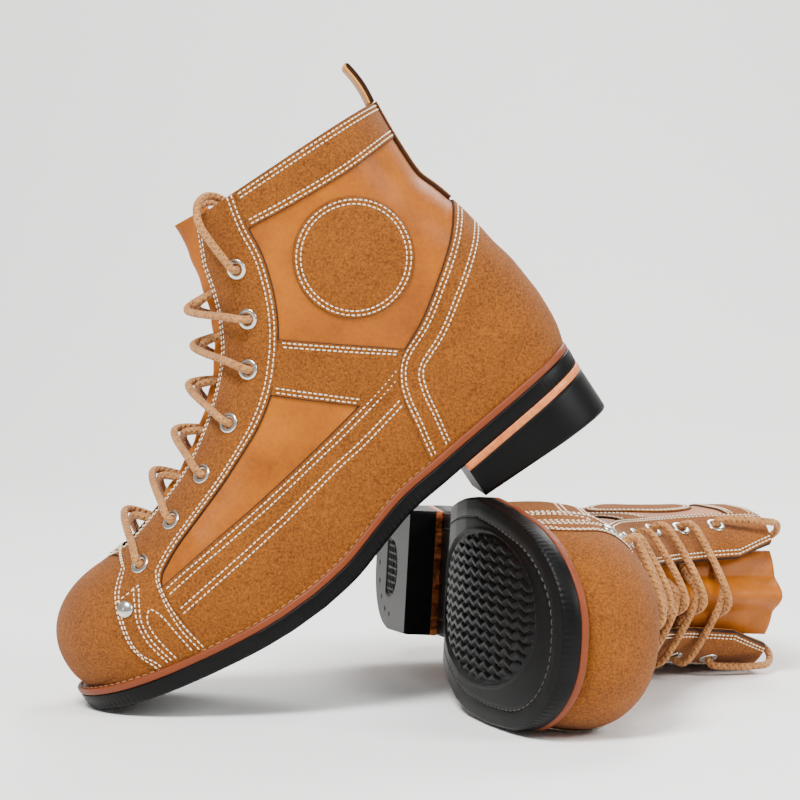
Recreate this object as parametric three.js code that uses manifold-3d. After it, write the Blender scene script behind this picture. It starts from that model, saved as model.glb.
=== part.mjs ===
/**
 * A pair of lace-to-toe leather work boots: one lies on its side, the other leans on it.
 *
 * Every boot is drawn as a left boot in its own frame: +X to the toe, +Y to the wearer's left
 * (the outer side of a left boot), +Z up, origin on the ground under the back of the heel.
 * The right boot is the mirror image. Lengths are in millimetres.
 *
 * The upper is one smooth skin, seen from the side as the area between a front profile and a
 * back profile; its half width at a point of that area falls to nothing at both profiles.
 * The lining and the leather panels are layers of that skin, cut out by their pattern outlines.
 */
import * as THREE from 'three';
import { mergeVertices } from 'three/addons/utils/BufferGeometryUtils.js';
import Module from 'manifold-3d';

const wasm = await Module();
wasm.setup();

// ---- Overall sizes -------------------------------------------------------------------------
const SOLE_LENGTH = 312;
const BALL_WIDTH = 110;
const BOOT_HEIGHT = 200;

// ---- Sole ----------------------------------------------------------------------------------
const OUTSOLE_THICKNESS = 8.7;
const WELT_THICKNESS = 3.7;
const WELT_REACH = 5.5;
const WELT_WIDTH = 15;
const INSOLE_THICKNESS = 2.6;
const INSOLE_MARGIN = 4.5;
const HEEL_HEIGHT = 19;
const HEEL_LIFT_THICKNESS = 3.4;
const TOE_SPRING = 20;
const SHANK_WIDTH = 14;
const SHANK_THICKNESS = 1.2;

// ---- Leather -------------------------------------------------------------------------------
const LINING_THICKNESS = 1.15;
const SKIN_THICKNESS = 2.45;
const QUARTER_THICKNESS = 1.35;
const OVERLAY_THICKNESS = 1.3;
const TAPE_THICKNESS = 0.55;
const TONGUE_THICKNESS = 2.4;
const BACKSTAY_HALF_WIDTH = 9.5;
const PATCH_RADIUS = 31;
const PULL_TAB_HEIGHT = 22;
const PULL_TAB_THICKNESS = 5.4;

// ---- Eyelets, rivets and lace ----------------------------------------------------------------
const EYELET_FLANGE_RADIUS = 5.2;
const EYELET_BORE_RADIUS = 2.9;
const EYELET_WALL = 0.45;
const EYELET_FLANGE_HEIGHT = 0.8;
const RIVET_HEAD_RADIUS = 5;
const RIVET_HEAD_HEIGHT = 2.6;
const RIVET_SHANK_RADIUS = 1.6;
const LACE_DIAMETER = 4.2;
const LACE_BEND = 4.6;
const LACE_TAIL = 120;

// ---- Clearances ------------------------------------------------------------------------------
const GAP = 0.3;
const FITTING_CLEARANCE = 1.35;
const SOLE_GAP = 0.5;
const LACE_CLEARANCE = 0.5;

// ---- Pose of the pair --------------------------------------------------------------------------
const LEAN_PITCH = 33.6;
const LEAN_YAW = 3.4;
const LYING_TURN = 12.5;
// How far the side of a boot falls in from its welt to its collar, which the lying boot rests on.
const LYING_FALL = 11.88;
const LYING_PLACE = [-112, 150];

// ---- The size the patterns are drawn for; grading takes them to the sizes above ------------------
const PATTERN = { length: 312, width: 107, height: 200, seat: 12.9, heelBreast: 72, heelBack: -8 };
const ROUNDNESS = 2.3;
const HEEL_PITCH = 0.115;

const FRONT_RIDGE = [
  [258, 77.5], [240, 79], [222, 84.5], [205, 91], [188, 99], [172, 110], [158, 122],
  [147, 134], [139, 147], [133, 162], [129, 178], [126, 192], [125, 200],
];
const BACK_PROFILE = [
  [-4.5, 39], [-8, 52], [-9, 68], [-8.5, 77], [-7, 92], [-4, 105], [-2, 118],
  [0.7, 131], [4.6, 145], [8.5, 156], [9, 170], [8.5, 186], [7.5, 200],
];
const TOE_TIP = 300;
const TOE_TIP_ROUND = 42;
const TOE_TOP_ROUND = 34;
const TOE_UNDERCUT = 4;

// Outsole half widths on the outer and the inner side, by distance from the heel.
const OUTER_WIDTH = [
  [-8, 34.5], [30, 36], [72, 36], [110, 38.5], [150, 44.5], [185, 51], [207, 54], [235, 53],
  [262, 49.5], [304, 44],
];
const INNER_WIDTH = [
  [-8, 34.5], [30, 36], [72, 33.5], [100, 31], [130, 33], [160, 41], [190, 50], [207, 53],
  [235, 52.5], [262, 49], [304, 44],
];

// Underside of the outsole: shares of the heel height, then shares of the toe spring.
const WAIST_DROP = [[72, 1], [85, 0.92], [107, 0.79], [128, 0.5], [150, 0.16], [172, 0.01]];
const TOE_RISE = [
  [192, 0], [213, 0.075], [235, 0.21], [257, 0.38], [278, 0.6], [294, 0.825], [304, 1],
];

// Pattern lines of the panels, seen from the side.
const EYESTAY_REAR = [
  [92.5, 203], [98, 166], [107.9, 138], [124.2, 114], [148, 94.5], [180.7, 79.3], [213.3, 66.5],
  [231.8, 56], [234.4, 47], [232.4, 24], [231, 5],
];
const BAND_FRONT = [[250, 95], [254.6, 67], [261, 60], [264.4, 42], [262, 28], [258, 8]];
const FOXING_TOP = [[232.6, 54.5], [202.4, 59.3], [169.8, 63.4], [137.2, 68.4], [104.6, 74.5], [67.7, 85.2]];
const COUNTER_FRONT = [[67.7, 85.2], [76.3, 76], [80.7, 64], [82.9, 51], [86, 33.7], [88, 10]];
const COUNTER_TOP = [[67.7, 85.2], [50.3, 93.4], [32.9, 105.4], [17.7, 117.3], [9, 126], [0.7, 135.8], [-25, 150]];
const COLLAR_LOW = [[97, 180.6], [72, 178.2], [39.4, 176.7], [8.3, 178.9], [-25, 179]];
const STRAP_UPPER = [[115.2, 126.5], [66.5, 86.6]];
const STRAP_LOWER = [[134, 105.6], [99, 76]];
const EYELETS = [
  [237, 68], [211.5, 77.5], [185.5, 88.5], [159.5, 103], [136, 120.6], [121.6, 142.5], [112.2, 167],
];
const RIVET = [255.5, 54.5];
const PATCH_CENTRE = [61.2, 139.3];

// Half width of the throat by share of the front profile, from the toe end to the collar.
const THROAT = [[0.3, 3], [0.315, 9], [0.35, 13], [0.45, 16.5], [0.6, 17.5], [0.8, 18], [0.92, 20], [1.03, 31]];
// Which share of the back profile faces which share of the front profile.
const RUNGS = [
  [0, 0], [0.28, 0.075], [0.474, 0.225], [0.612, 0.41], [0.68, 0.52], [0.74, 0.63],
  [0.796, 0.7], [0.856, 0.775], [0.916, 0.875], [1, 1],
];
// Rungs of the skin by share of the front profile, closer together where they turn round the heel.
const ROWS = [
  0, 0.05, 0.11, 0.19, 0.27, 0.37, 0.47, 0.56, 0.64, 0.7, 0.75, 0.82, 0.91, 1,
];
// Places along a rung, closer together at both rounds.
const COLUMNS = [0, 0.04, 0.15, 0.5, 0.85, 0.96, 1];
const SEAT_CLEARANCE = 0.2;

// ---- Small numeric helpers -----------------------------------------------------------------------
const clamp01 = (value) => Math.min(1, Math.max(0, value));
const smooth = (from, to, value) => THREE.MathUtils.smoothstep(value, from, to);
const rounding = (share) => Math.pow(1 - Math.pow(1 - clamp01(share), ROUNDNESS), 1 / ROUNDNESS);

/** Linear reading of a table of [position, value] pairs. */
function read(table, position) {
  let k = 1;
  while (k < table.length - 1 && position > table[k][0]) k += 1;
  const [x0, y0] = table[k - 1];
  const [x1, y1] = table[k];
  return y0 + (y1 - y0) * clamp01((position - x0) / (x1 - x0));
}

/** Points of a smooth curve through [x, z] pairs. */
function curve(points, divisions) {
  const path = new THREE.SplineCurve(points.map(([x, z]) => new THREE.Vector2(x, z)));
  return path.getPoints(divisions).map((point) => [point.x, point.y]);
}

// ---- Grading: from the drawn pattern to the wanted size ---------------------------------------------
const LENGTH_GRADE = SOLE_LENGTH / PATTERN.length;
const WIDTH_GRADE = BALL_WIDTH / PATTERN.width;
const SEAT = OUTSOLE_THICKNESS + SOLE_GAP + WELT_THICKNESS;
const SOLE_CURVE = curve(WAIST_DROP.map(([x, share]) => [x, share * HEEL_HEIGHT]), 20)
  .concat(curve(TOE_RISE.map(([x, share]) => [x, share * TOE_SPRING]), 24));
const PATTERN_SOLE = curve(WAIST_DROP.map(([x, share]) => [x, share * 19]), 20)
  .concat(curve(TOE_RISE.map(([x, share]) => [x, share * 20]), 24));

/** Height of the outsole's underside on a sole line, at a pattern length x. */
function underside(line, heel, x) {
  if (x < PATTERN.heelBreast) return heel + (PATTERN.heelBreast - x) * HEEL_PITCH;
  return read(line, x);
}

const patternSeat = (x) => underside(PATTERN_SOLE, 19, x) + PATTERN.seat;
const soleZ = (x) => underside(SOLE_CURVE, HEEL_HEIGHT, x / LENGTH_GRADE);
const seatZ = (x) => soleZ(x) + SEAT;
const HEIGHT_GRADE = (BOOT_HEIGHT - seatZ(0)) / (PATTERN.height - patternSeat(0));

/** A pattern point taken to the wanted length, heel, sole and height. */
function grade([x, z]) {
  const length = x * LENGTH_GRADE;
  return [length, seatZ(length) + (z - patternSeat(x)) * HEIGHT_GRADE];
}

// ---- Profiles ------------------------------------------------------------------------------------------
/** A chain of points seen from the side, read by share of its length. */
class Profile {
  constructor(points) {
    this.points = points;
    this.reach = [0];
    for (let k = 1; k < points.length; k += 1) {
      const step = Math.hypot(points[k][0] - points[k - 1][0], points[k][1] - points[k - 1][1]);
      this.reach.push(this.reach[k - 1] + step);
    }
    this.length = this.reach[points.length - 1];
  }

  /** Point at a share of the length; shares outside 0..1 run straight on. */
  at(share) {
    const goal = share * this.length;
    let k = 1;
    while (k < this.points.length - 1 && goal > this.reach[k]) k += 1;
    const part = (goal - this.reach[k - 1]) / (this.reach[k] - this.reach[k - 1]);
    const [a, b] = [this.points[k - 1], this.points[k]];
    return [a[0] + (b[0] - a[0]) * part, a[1] + (b[1] - a[1]) * part];
  }

  /** Distance of (x, z) and the share of the nearest point. */
  nearest(x, z) {
    let best = { distance: Infinity, share: 0 };
    for (let k = 1; k < this.points.length; k += 1) {
      const [a, b] = [this.points[k - 1], this.points[k]];
      const [dx, dz] = [b[0] - a[0], b[1] - a[1]];
      const part = clamp01(((x - a[0]) * dx + (z - a[1]) * dz) / (dx * dx + dz * dz));
      const distance = Math.hypot(x - a[0] - dx * part, z - a[1] - dz * part);
      if (distance < best.distance) {
        const run = this.reach[k - 1] + part * (this.reach[k] - this.reach[k - 1]);
        best = { distance, share: run / this.length };
      }
    }
    return best;
  }

  /** Direction that points out of the boot at a share of the length. */
  outward(share) {
    const [a, b] = [this.at(share - 0.01), this.at(share + 0.01)];
    const run = Math.hypot(b[0] - a[0], b[1] - a[1]);
    return [(b[1] - a[1]) / run, -(b[0] - a[0]) / run];
  }
}

const ridgePoints = curve(FRONT_RIDGE, 72).map(grade);
const TOE_TOP = ridgePoints[0][1];
const TIP_X = TOE_TIP * LENGTH_GRADE;
const TOE_FOOT = TOE_TOP - TOE_TOP_ROUND;
const tipX = (z) => TIP_X - TOE_UNDERCUT * Math.pow(clamp01((TOE_FOOT - z) / 14), 2);
const topLine = new Profile([[TIP_X + 40, TOE_TOP], ...ridgePoints]);

/** The round of the toe seen from the side, from its foot up to the ridge. */
function toeRound(divisions) {
  const points = [];
  for (let k = 0; k <= divisions; k += 1) {
    const angle = (k / divisions) * (Math.PI / 2);
    const tip = Math.pow(Math.cos(angle), 2 / ROUNDNESS);
    const top = Math.pow(Math.sin(angle), 2 / ROUNDNESS);
    points.push([TIP_X - TOE_TIP_ROUND * (1 - tip), TOE_TOP - TOE_TOP_ROUND * (1 - top)]);
  }
  return points;
}

const FEATHER_SINK = 2;
const toeFoot = [TIP_X - TOE_UNDERCUT, seatZ(TIP_X - TOE_UNDERCUT) - FEATHER_SINK];
const frontLine = new Profile([toeFoot, ...toeRound(12), ...ridgePoints.slice(1)]);
const backPoints = curve(BACK_PROFILE, 48).map(grade);
const backLine = new Profile(backPoints);
const heelFoot = backPoints[0];
const featherPoints = [];
for (let k = 0; k < 48; k += 1) {
  const x = THREE.MathUtils.lerp(toeFoot[0], heelFoot[0], k / 48);
  featherPoints.push([x, seatZ(x) - FEATHER_SINK]);
}
const lowLine = new Profile([...featherPoints, ...backPoints]);

// ---- The skin of the upper ---------------------------------------------------------------------------
/** Sideways place of the middle of the boot; the toe turns in. */
const middleY = (x) => -7 * smooth(180, 304, x / LENGTH_GRADE);

/** Outsole half width without its round ends; side is +1 outside and -1 inside. */
function soleWidth(x, side) {
  return read(side > 0 ? OUTER_WIDTH : INNER_WIDTH, x / LENGTH_GRADE) * WIDTH_GRADE;
}

/** Half width of the upper's skin at a side-view point. */
function skinWidth(x, z, side) {
  const above = z - seatZ(x);
  const foot = soleWidth(x, side) - WELT_REACH + 1.6 * Math.sin(Math.PI * clamp01(above / 40));
  const shaft = (38.5 + 3.5 * smooth(110, 200, z)) * WIDTH_GRADE;
  const full = THREE.MathUtils.lerp(foot, shaft, smooth(30, 100, above));
  const top = topLine.nearest(x, z);
  const topRound = TOE_TOP_ROUND + 4 * smooth(0.3, 0.5, top.share) + 14 * smooth(0.55, 0.85, top.share);
  const topShare = 1 - clamp01(top.distance / topRound);
  const tipShare = 1 - clamp01((tipX(z) - x) / TOE_TIP_ROUND);
  const front = Math.pow(topShare, ROUNDNESS) + Math.pow(tipShare, ROUNDNESS);
  const back = backLine.nearest(x, z);
  const backRound = 34 + 16 * smooth(0.35, 0.75, back.share);
  const frontFall = Math.pow(Math.max(0, 1 - front), 1 / ROUNDNESS);
  return full * frontFall * rounding(back.distance / backRound);
}

/** Point of the skin at a side-view place, on one side of the boot. */
function skinPoint(x, z, side) {
  return new THREE.Vector3(x, middleY(x) + side * skinWidth(x, z, side), z);
}

/** Outward direction of the skin at a side-view place away from the ridges. */
function skinNormal(x, z, side) {
  const step = 1.5;
  const alongX = skinPoint(x + step, z, side).sub(skinPoint(x - step, z, side));
  const alongZ = skinPoint(x, z + step, side).sub(skinPoint(x, z - step, side));
  return alongZ.cross(alongX).multiplyScalar(side).normalize();
}

/** How deep under the ridge the skin lies at a sideways distance from the middle. */
function depthUnderRidge(share, y) {
  const [x, z] = frontLine.at(Math.min(1, share));
  const [outX, outZ] = frontLine.outward(Math.min(1, share));
  const side = y < 0 ? -1 : 1;
  let [low, high] = [0, 48];
  for (let k = 0; k < 24; k += 1) {
    const depth = (low + high) / 2;
    if (skinWidth(x - outX * depth, z - outZ * depth, side) < Math.abs(y)) low = depth;
    else high = depth;
  }
  return high;
}

/** A point over the ridge: a share along it, a sideways distance and a height over the skin. */
function overRidge(share, y, height) {
  const [x, z] = frontLine.at(share);
  const [outX, outZ] = frontLine.outward(share);
  const depth = depthUnderRidge(share, y);
  const slope = (depthUnderRidge(share, y + 1) - depthUnderRidge(share, y - 1)) / 2;
  const scale = height / Math.hypot(1, slope);
  const rise = scale - depth;
  return new THREE.Vector3(x + outX * rise, middleY(x) + y + slope * scale, z + outZ * rise);
}

/** The skin as one mesh: rungs from the low line to the front line on both sides. */
function skinSurface() {
  const position = [];
  const index = [];
  for (const side of [1, -1]) {
    const start = position.length / 3;
    for (const share of ROWS) {
      const front = frontLine.at(share);
      const low = lowLine.at(read(RUNGS, share));
      for (const part of COLUMNS) {
        const x = THREE.MathUtils.lerp(low[0], front[0], part);
        const z = THREE.MathUtils.lerp(low[1], front[1], part);
        const onRidge = part === 1 || share === 0;
        const point = onRidge ? new THREE.Vector3(x, middleY(x), z) : skinPoint(x, z, side);
        position.push(point.x, point.y, point.z);
      }
    }
    for (let row = 0; row < ROWS.length - 1; row += 1) {
      for (let column = 0; column < COLUMNS.length - 1; column += 1) {
        const a = start + row * COLUMNS.length + column;
        const b = a + COLUMNS.length;
        if (side > 0) index.push(a, b, b + 1, a, b + 1, a + 1);
        else index.push(a, b + 1, b, a, a + 1, b + 1);
      }
    }
  }
  const geometry = new THREE.BufferGeometry();
  geometry.setAttribute('position', new THREE.Float32BufferAttribute(position, 3));
  geometry.setIndex(index);
  const welded = withoutFlatTriangles(mergeVertices(geometry, 1e-3));
  welded.computeVertexNormals();
  return welded;
}

/** Drops triangles that name one vertex twice. */
function withoutFlatTriangles(geometry) {
  const source = geometry.index.array;
  const kept = [];
  for (let k = 0; k < source.length; k += 3) {
    const [a, b, c] = [source[k], source[k + 1], source[k + 2]];
    if (a !== b && b !== c && c !== a) kept.push(a, b, c);
  }
  geometry.setIndex(kept);
  return geometry;
}

// ---- Solids ----------------------------------------------------------------------------------------------
/** Turns the faces of a closed mesh to point outward. */
function facingOut(geometry) {
  const place = geometry.attributes.position;
  const index = geometry.index.array;
  const corner = (k) => new THREE.Vector3().fromBufferAttribute(place, index[k]);
  let volume = 0;
  for (let k = 0; k < index.length; k += 3) volume += corner(k).dot(corner(k + 1).cross(corner(k + 2)));
  if (volume > 0) return geometry;
  for (let k = 0; k < index.length; k += 3) [index[k], index[k + 1]] = [index[k + 1], index[k]];
  return geometry;
}

/** A closed mesh as a solid that can be cut and joined. */
function solid(geometry) {
  const bare = geometry.clone();
  bare.deleteAttribute('normal');
  bare.deleteAttribute('uv');
  const welded = facingOut(withoutFlatTriangles(mergeVertices(bare, 1e-4)));
  return new wasm.Manifold(new wasm.Mesh({
    numProp: 3,
    vertProperties: new Float32Array(welded.attributes.position.array),
    triVerts: new Uint32Array(welded.index.array),
  }));
}

/** A solid as a geometry again. */
function shape(body) {
  const mesh = body.getMesh();
  const geometry = new THREE.BufferGeometry();
  geometry.setAttribute('position', new THREE.BufferAttribute(new Float32Array(mesh.vertProperties), 3));
  geometry.setIndex(Array.from(mesh.triVerts));
  return geometry;
}

/** A closed body through rings of equal point counts; a looped one joins its last ring to its first. */
function loft(rings, looped = false) {
  const count = rings[0].length;
  const position = rings.flat().flatMap((point) => [point.x, point.y, point.z]);
  const index = [];
  const last = looped ? rings.length : rings.length - 1;
  for (let ring = 0; ring < last; ring += 1) {
    const next = (ring + 1) % rings.length;
    for (let k = 0; k < count; k += 1) {
      const a = ring * count + k;
      const b = ring * count + ((k + 1) % count);
      const c = next * count + ((k + 1) % count);
      const d = next * count + k;
      index.push(a, b, c, a, c, d);
    }
  }
  if (!looped) {
    const end = (rings.length - 1) * count;
    for (let k = 1; k < count - 1; k += 1) {
      index.push(0, k + 1, k);
      index.push(end, end + k, end + k + 1);
    }
  }
  const geometry = new THREE.BufferGeometry();
  geometry.setAttribute('position', new THREE.Float32BufferAttribute(position, 3));
  geometry.setIndex(index);
  return facingOut(geometry);
}

/** A layer of the skin between two heights over it, as a solid. */
function skinLayer(surface, inner, outer) {
  const place = surface.attributes.position;
  const normal = surface.attributes.normal;
  const position = [];
  for (const height of [inner, outer]) {
    for (let k = 0; k < place.count; k += 1) {
      position.push(
        place.getX(k) + normal.getX(k) * height,
        place.getY(k) + normal.getY(k) * height,
        place.getZ(k) + normal.getZ(k) * height,
      );
    }
  }
  const count = place.count;
  const source = surface.index.array;
  const index = [];
  const open = new Map();
  for (let k = 0; k < source.length; k += 3) {
    const [a, b, c] = [source[k], source[k + 1], source[k + 2]];
    index.push(a + count, b + count, c + count, a, c, b);
    for (const [from, to] of [[a, b], [b, c], [c, a]]) {
      if (!open.delete(`${to} ${from}`)) open.set(`${from} ${to}`, [from, to]);
    }
  }
  for (const [from, to] of open.values()) {
    index.push(from, to, to + count, from, to + count, from + count);
  }
  const geometry = new THREE.BufferGeometry();
  geometry.setAttribute('position', new THREE.Float32BufferAttribute(position, 3));
  geometry.setIndex(index);
  return solid(geometry);
}

/** An outline seen from the side, moved inward by half the gap between neighbours. */
function insetOutline(points, distance) {
  const area = points.reduce((sum, [x, z], k) => {
    const [nx, nz] = points[(k + 1) % points.length];
    return sum + x * nz - nx * z;
  }, 0);
  const turn = Math.sign(area);
  return points.map((point, k) => {
    const before = points[(k + points.length - 1) % points.length];
    const after = points[(k + 1) % points.length];
    const a = new THREE.Vector2(point[0] - before[0], point[1] - before[1]).normalize();
    const b = new THREE.Vector2(after[0] - point[0], after[1] - point[1]).normalize();
    const inward = new THREE.Vector2(-a.y - b.y, a.x + b.x).multiplyScalar(turn).normalize();
    const reach = distance / Math.max(0.4, inward.dot(new THREE.Vector2(-a.y, a.x).multiplyScalar(turn)));
    return [point[0] + inward.x * reach, point[1] + inward.y * reach];
  });
}

const HALF_SPAN = 90;

/** A side-view outline as a prism across the boot: side 0 is both halves, split at a middle. */
function prism(outline, side, middle = 0) {
  const flat = insetOutline(outline, GAP / 2);
  const face = new THREE.Shape(flat.map(([x, z]) => new THREE.Vector2(x, z)));
  const depth = side === 0 ? 2 * HALF_SPAN : HALF_SPAN;
  const geometry = new THREE.ExtrudeGeometry(face, { depth, bevelEnabled: false });
  geometry.rotateX(Math.PI / 2);
  if (side >= 0) geometry.translate(0, HALF_SPAN, 0);
  geometry.translate(0, middle + (side * GAP) / 2, 0);
  return solid(geometry);
}

/** A band that follows a profile across the middle of the boot, as a solid. */
function ribbon(profile, widths, inward, outward) {
  const rings = widths.map(([share, width]) => {
    const [x, z] = profile.at(share);
    const [outX, outZ] = profile.outward(share);
    const corner = (side, height) => new THREE.Vector3(
      x + outX * height,
      middleY(x) + side * width,
      z + outZ * height,
    );
    return [corner(-1, -inward), corner(1, -inward), corner(1, outward), corner(-1, outward)];
  });
  return solid(loft(rings));
}

// ---- Sole pieces ---------------------------------------------------------------------------------------
/** Lengths at which sole pieces are drawn, closer together at the round ends. */
function stations(from, to, count) {
  const list = [];
  for (let k = 0; k <= count; k += 1) {
    const even = k / count;
    const crowded = (1 - Math.cos(Math.PI * even)) / 2;
    list.push(THREE.MathUtils.lerp(from, to, 0.55 * crowded + 0.45 * even));
  }
  return list;
}

const HEEL_END = PATTERN.heelBack * LENGTH_GRADE;
const TOE_END = HEEL_END + SOLE_LENGTH;
const HEEL_BREAST = PATTERN.heelBreast * LENGTH_GRADE;
const END_TRIM = 0.9;

/** Edge of the sole at a length, drawn in by an inset. */
function soleEdge(x, side, inset) {
  const heel = rounding((x - HEEL_END - inset + END_TRIM) / (37 * WIDTH_GRADE));
  const toe = rounding((TOE_END - inset + END_TRIM - x) / (48 * WIDTH_GRADE));
  return middleY(x) + side * (soleWidth(x, side) - inset) * heel * toe;
}

/** A plate of the sole between two heights, given as functions of the length. */
function solePlate(inset, lower, upper, from, to, count) {
  const rings = stations(from, to, count).map((x) => {
    const right = soleEdge(x, -1, inset);
    const left = soleEdge(x, 1, inset);
    return [
      new THREE.Vector3(x, right, upper(x)),
      new THREE.Vector3(x, left, upper(x)),
      new THREE.Vector3(x, left, lower(x)),
      new THREE.Vector3(x, right, lower(x)),
    ];
  });
  return loft(rings);
}

/** The welt: a strip that runs all the way round between two insets. */
function weltRing() {
  const lengths = stations(0, 1, 22);
  const loop = lengths.map((share) => [share, 1]).concat(lengths.map((share) => [share, -1]).reverse());
  const floor = OUTSOLE_THICKNESS + SOLE_GAP;
  const top = floor + WELT_THICKNESS - GAP;
  const rings = loop.map(([share, side]) => {
    const corner = (inset, rise) => {
      const x = THREE.MathUtils.lerp(HEEL_END + inset, TOE_END - inset, share);
      return new THREE.Vector3(x, soleEdge(x, side, inset), soleZ(x) + rise);
    };
    return [
      corner(0, floor), corner(WELT_WIDTH, floor), corner(WELT_WIDTH, top), corner(0, top),
    ];
  });
  return loft(rings, true);
}

/** Outsole, heel, welt, filler, shank and insole. */
function solePieces() {
  const fillerInset = WELT_WIDTH + GAP + 0.3;
  const insoleInset = WELT_REACH + LINING_THICKNESS + INSOLE_MARGIN * LENGTH_GRADE;
  const fillerFloor = (x) => soleZ(x) + OUTSOLE_THICKNESS + SOLE_GAP;
  const fillerTop = (x) => fillerFloor(x) + WELT_THICKNESS - GAP;
  const shankFloor = (x) => fillerFloor(x) + (WELT_THICKNESS - GAP - SHANK_THICKNESS) / 2;
  const shankFrom = HEEL_BREAST - 26;
  const shankTo = HEEL_BREAST + 74;
  const shankBox = (grow) => {
    const rings = [];
    for (let k = 0; k <= 8; k += 1) {
      const x = THREE.MathUtils.lerp(shankFrom - grow, shankTo + grow, k / 8);
      const half = SHANK_WIDTH / 2 + grow;
      const low = shankFloor(x) - grow;
      const high = low + SHANK_THICKNESS + 2 * grow;
      rings.push([
        new THREE.Vector3(x, -half, high), new THREE.Vector3(x, half, high),
        new THREE.Vector3(x, half, low), new THREE.Vector3(x, -half, low),
      ]);
    }
    return loft(rings);
  };
  const slot = loft([shankFrom - GAP, HEEL_BREAST, shankTo + GAP].map((x) => {
    const half = SHANK_WIDTH / 2 + GAP;
    return [
      new THREE.Vector3(x, -half, fillerTop(x) + 20), new THREE.Vector3(x, half, fillerTop(x) + 20),
      new THREE.Vector3(x, half, fillerFloor(x) - 20), new THREE.Vector3(x, -half, fillerFloor(x) - 20),
    ];
  }));
  const filler = solid(solePlate(
    fillerInset, fillerFloor, fillerTop, HEEL_END + fillerInset, TOE_END - fillerInset, 20,
  ));
  const liftTop = (x) => soleZ(x) - GAP;
  const liftFloor = (x) => liftTop(x) - HEEL_LIFT_THICKNESS;
  const blockTop = (x) => liftFloor(x) - GAP;
  return {
    outsole: solePlate(0, soleZ, (x) => soleZ(x) + OUTSOLE_THICKNESS, HEEL_END, TOE_END, 26),
    welt: weltRing(),
    cork_filler: shape(filler.subtract(solid(slot))),
    shank: shankBox(0),
    insole: solePlate(
      insoleInset, (x) => seatZ(x) + GAP, (x) => seatZ(x) + GAP + INSOLE_THICKNESS,
      HEEL_END + insoleInset, TOE_END - insoleInset, 20,
    ),
    heel_lift: heelPiece(0.6, liftFloor, liftTop),
    heel_block: heelPiece(1, () => 0, blockTop),
  };
}

/** A layer of the heel: round at the back, cut straight at the breast. */
function heelPiece(inset, lower, upper) {
  const rings = [];
  const count = 9;
  for (let k = 0; k <= count; k += 1) {
    const share = 1 - Math.cos((Math.PI / 2) * THREE.MathUtils.lerp(0.1, 1, k / count));
    const start = 1 - Math.cos((Math.PI / 2) * 0.1);
    const x = THREE.MathUtils.lerp(HEEL_END + inset, HEEL_BREAST, (share - start) / (1 - start));
    const right = soleEdge(x, -1, inset);
    const left = soleEdge(x, 1, inset);
    rings.push([
      new THREE.Vector3(x, right, upper(x)), new THREE.Vector3(x, left, upper(x)),
      new THREE.Vector3(x, left, lower(x)), new THREE.Vector3(x, right, lower(x)),
    ]);
  }
  return loft(rings);
}

// ---- Eyelets, rivets and their holes -----------------------------------------------------------------------
const surface = skinSurface();
const surfaceMesh = new THREE.Mesh(surface, new THREE.MeshStandardMaterial({ side: THREE.DoubleSide }));

/** A fitting's place on the skin: its foot on the faceted skin and its axis. */
function fittingFrame(mark, side) {
  const [x, z] = grade(mark);
  const normal = skinNormal(x, z, side);
  const start = skinPoint(x, z, side).addScaledVector(normal, 30);
  const ray = new THREE.Raycaster(start, normal.clone().negate());
  const hit = ray.intersectObject(surfaceMesh)[0];
  return { foot: hit.point, normal };
}

/** A turned body whose profile of [radius, height] pairs stands on a fitting's place. */
function turned(profile, frame, segments = FITTING_SEGMENTS) {
  const loop = [...profile, profile[0]].map(([radius, height]) => new THREE.Vector2(radius, height));
  const geometry = new THREE.LatheGeometry(loop, segments);
  const turn = new THREE.Quaternion().setFromUnitVectors(new THREE.Vector3(0, 1, 0), frame.normal);
  geometry.applyQuaternion(turn);
  geometry.translate(frame.foot.x, frame.foot.y, frame.foot.z);
  return solid(geometry);
}

const SKIN_BASE = GAP / 2;
const SKIN_TOP = SKIN_BASE + SKIN_THICKNESS;
const BARREL_RADIUS = EYELET_BORE_RADIUS + EYELET_WALL;
const BARREL_FOOT = SKIN_BASE + TAPE_THICKNESS / 2;
const LINING_FOOT = -SKIN_BASE - LINING_THICKNESS - GAP;
const FLANGE_FOOT = SKIN_TOP + FITTING_CLEARANCE;
const FLANGE_TOP = FLANGE_FOOT + EYELET_FLANGE_HEIGHT;
const FITTING_SEGMENTS = 5;
const RIVET_SEGMENTS = 8;

/** A plain round hole through everything at a fitting's place. */
function bore(frame, radius) {
  return turned([[0, -12], [radius, -12], [radius, 12], [0, 12]], frame);
}

/** One eyelet before it is bored: a short barrel that stands on the tape, with a flange outside. */
function eyelet(frame) {
  return turned([
    [0, BARREL_FOOT], [BARREL_RADIUS, BARREL_FOOT], [BARREL_RADIUS, FLANGE_FOOT],
    [EYELET_FLANGE_RADIUS, FLANGE_FOOT], [EYELET_BORE_RADIUS, FLANGE_TOP], [0, FLANGE_TOP],
  ], frame);
}

/** One rivet: a domed head over a plain shank. */
function rivet(frame) {
  const dome = [0.35, 0.7].map((share) => [
    RIVET_HEAD_RADIUS * Math.cos(share * Math.PI / 2),
    FLANGE_FOOT + 0.6 + (RIVET_HEAD_HEIGHT - 0.6) * Math.sin(share * Math.PI / 2),
  ]);
  return turned([
    [0, SKIN_BASE], [RIVET_SHANK_RADIUS, SKIN_BASE], [RIVET_SHANK_RADIUS, FLANGE_FOOT],
    [RIVET_HEAD_RADIUS, FLANGE_FOOT], [RIVET_HEAD_RADIUS, FLANGE_FOOT + 0.6], ...dome,
    [0, FLANGE_FOOT + RIVET_HEAD_HEIGHT],
  ], frame, RIVET_SEGMENTS);
}

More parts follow.
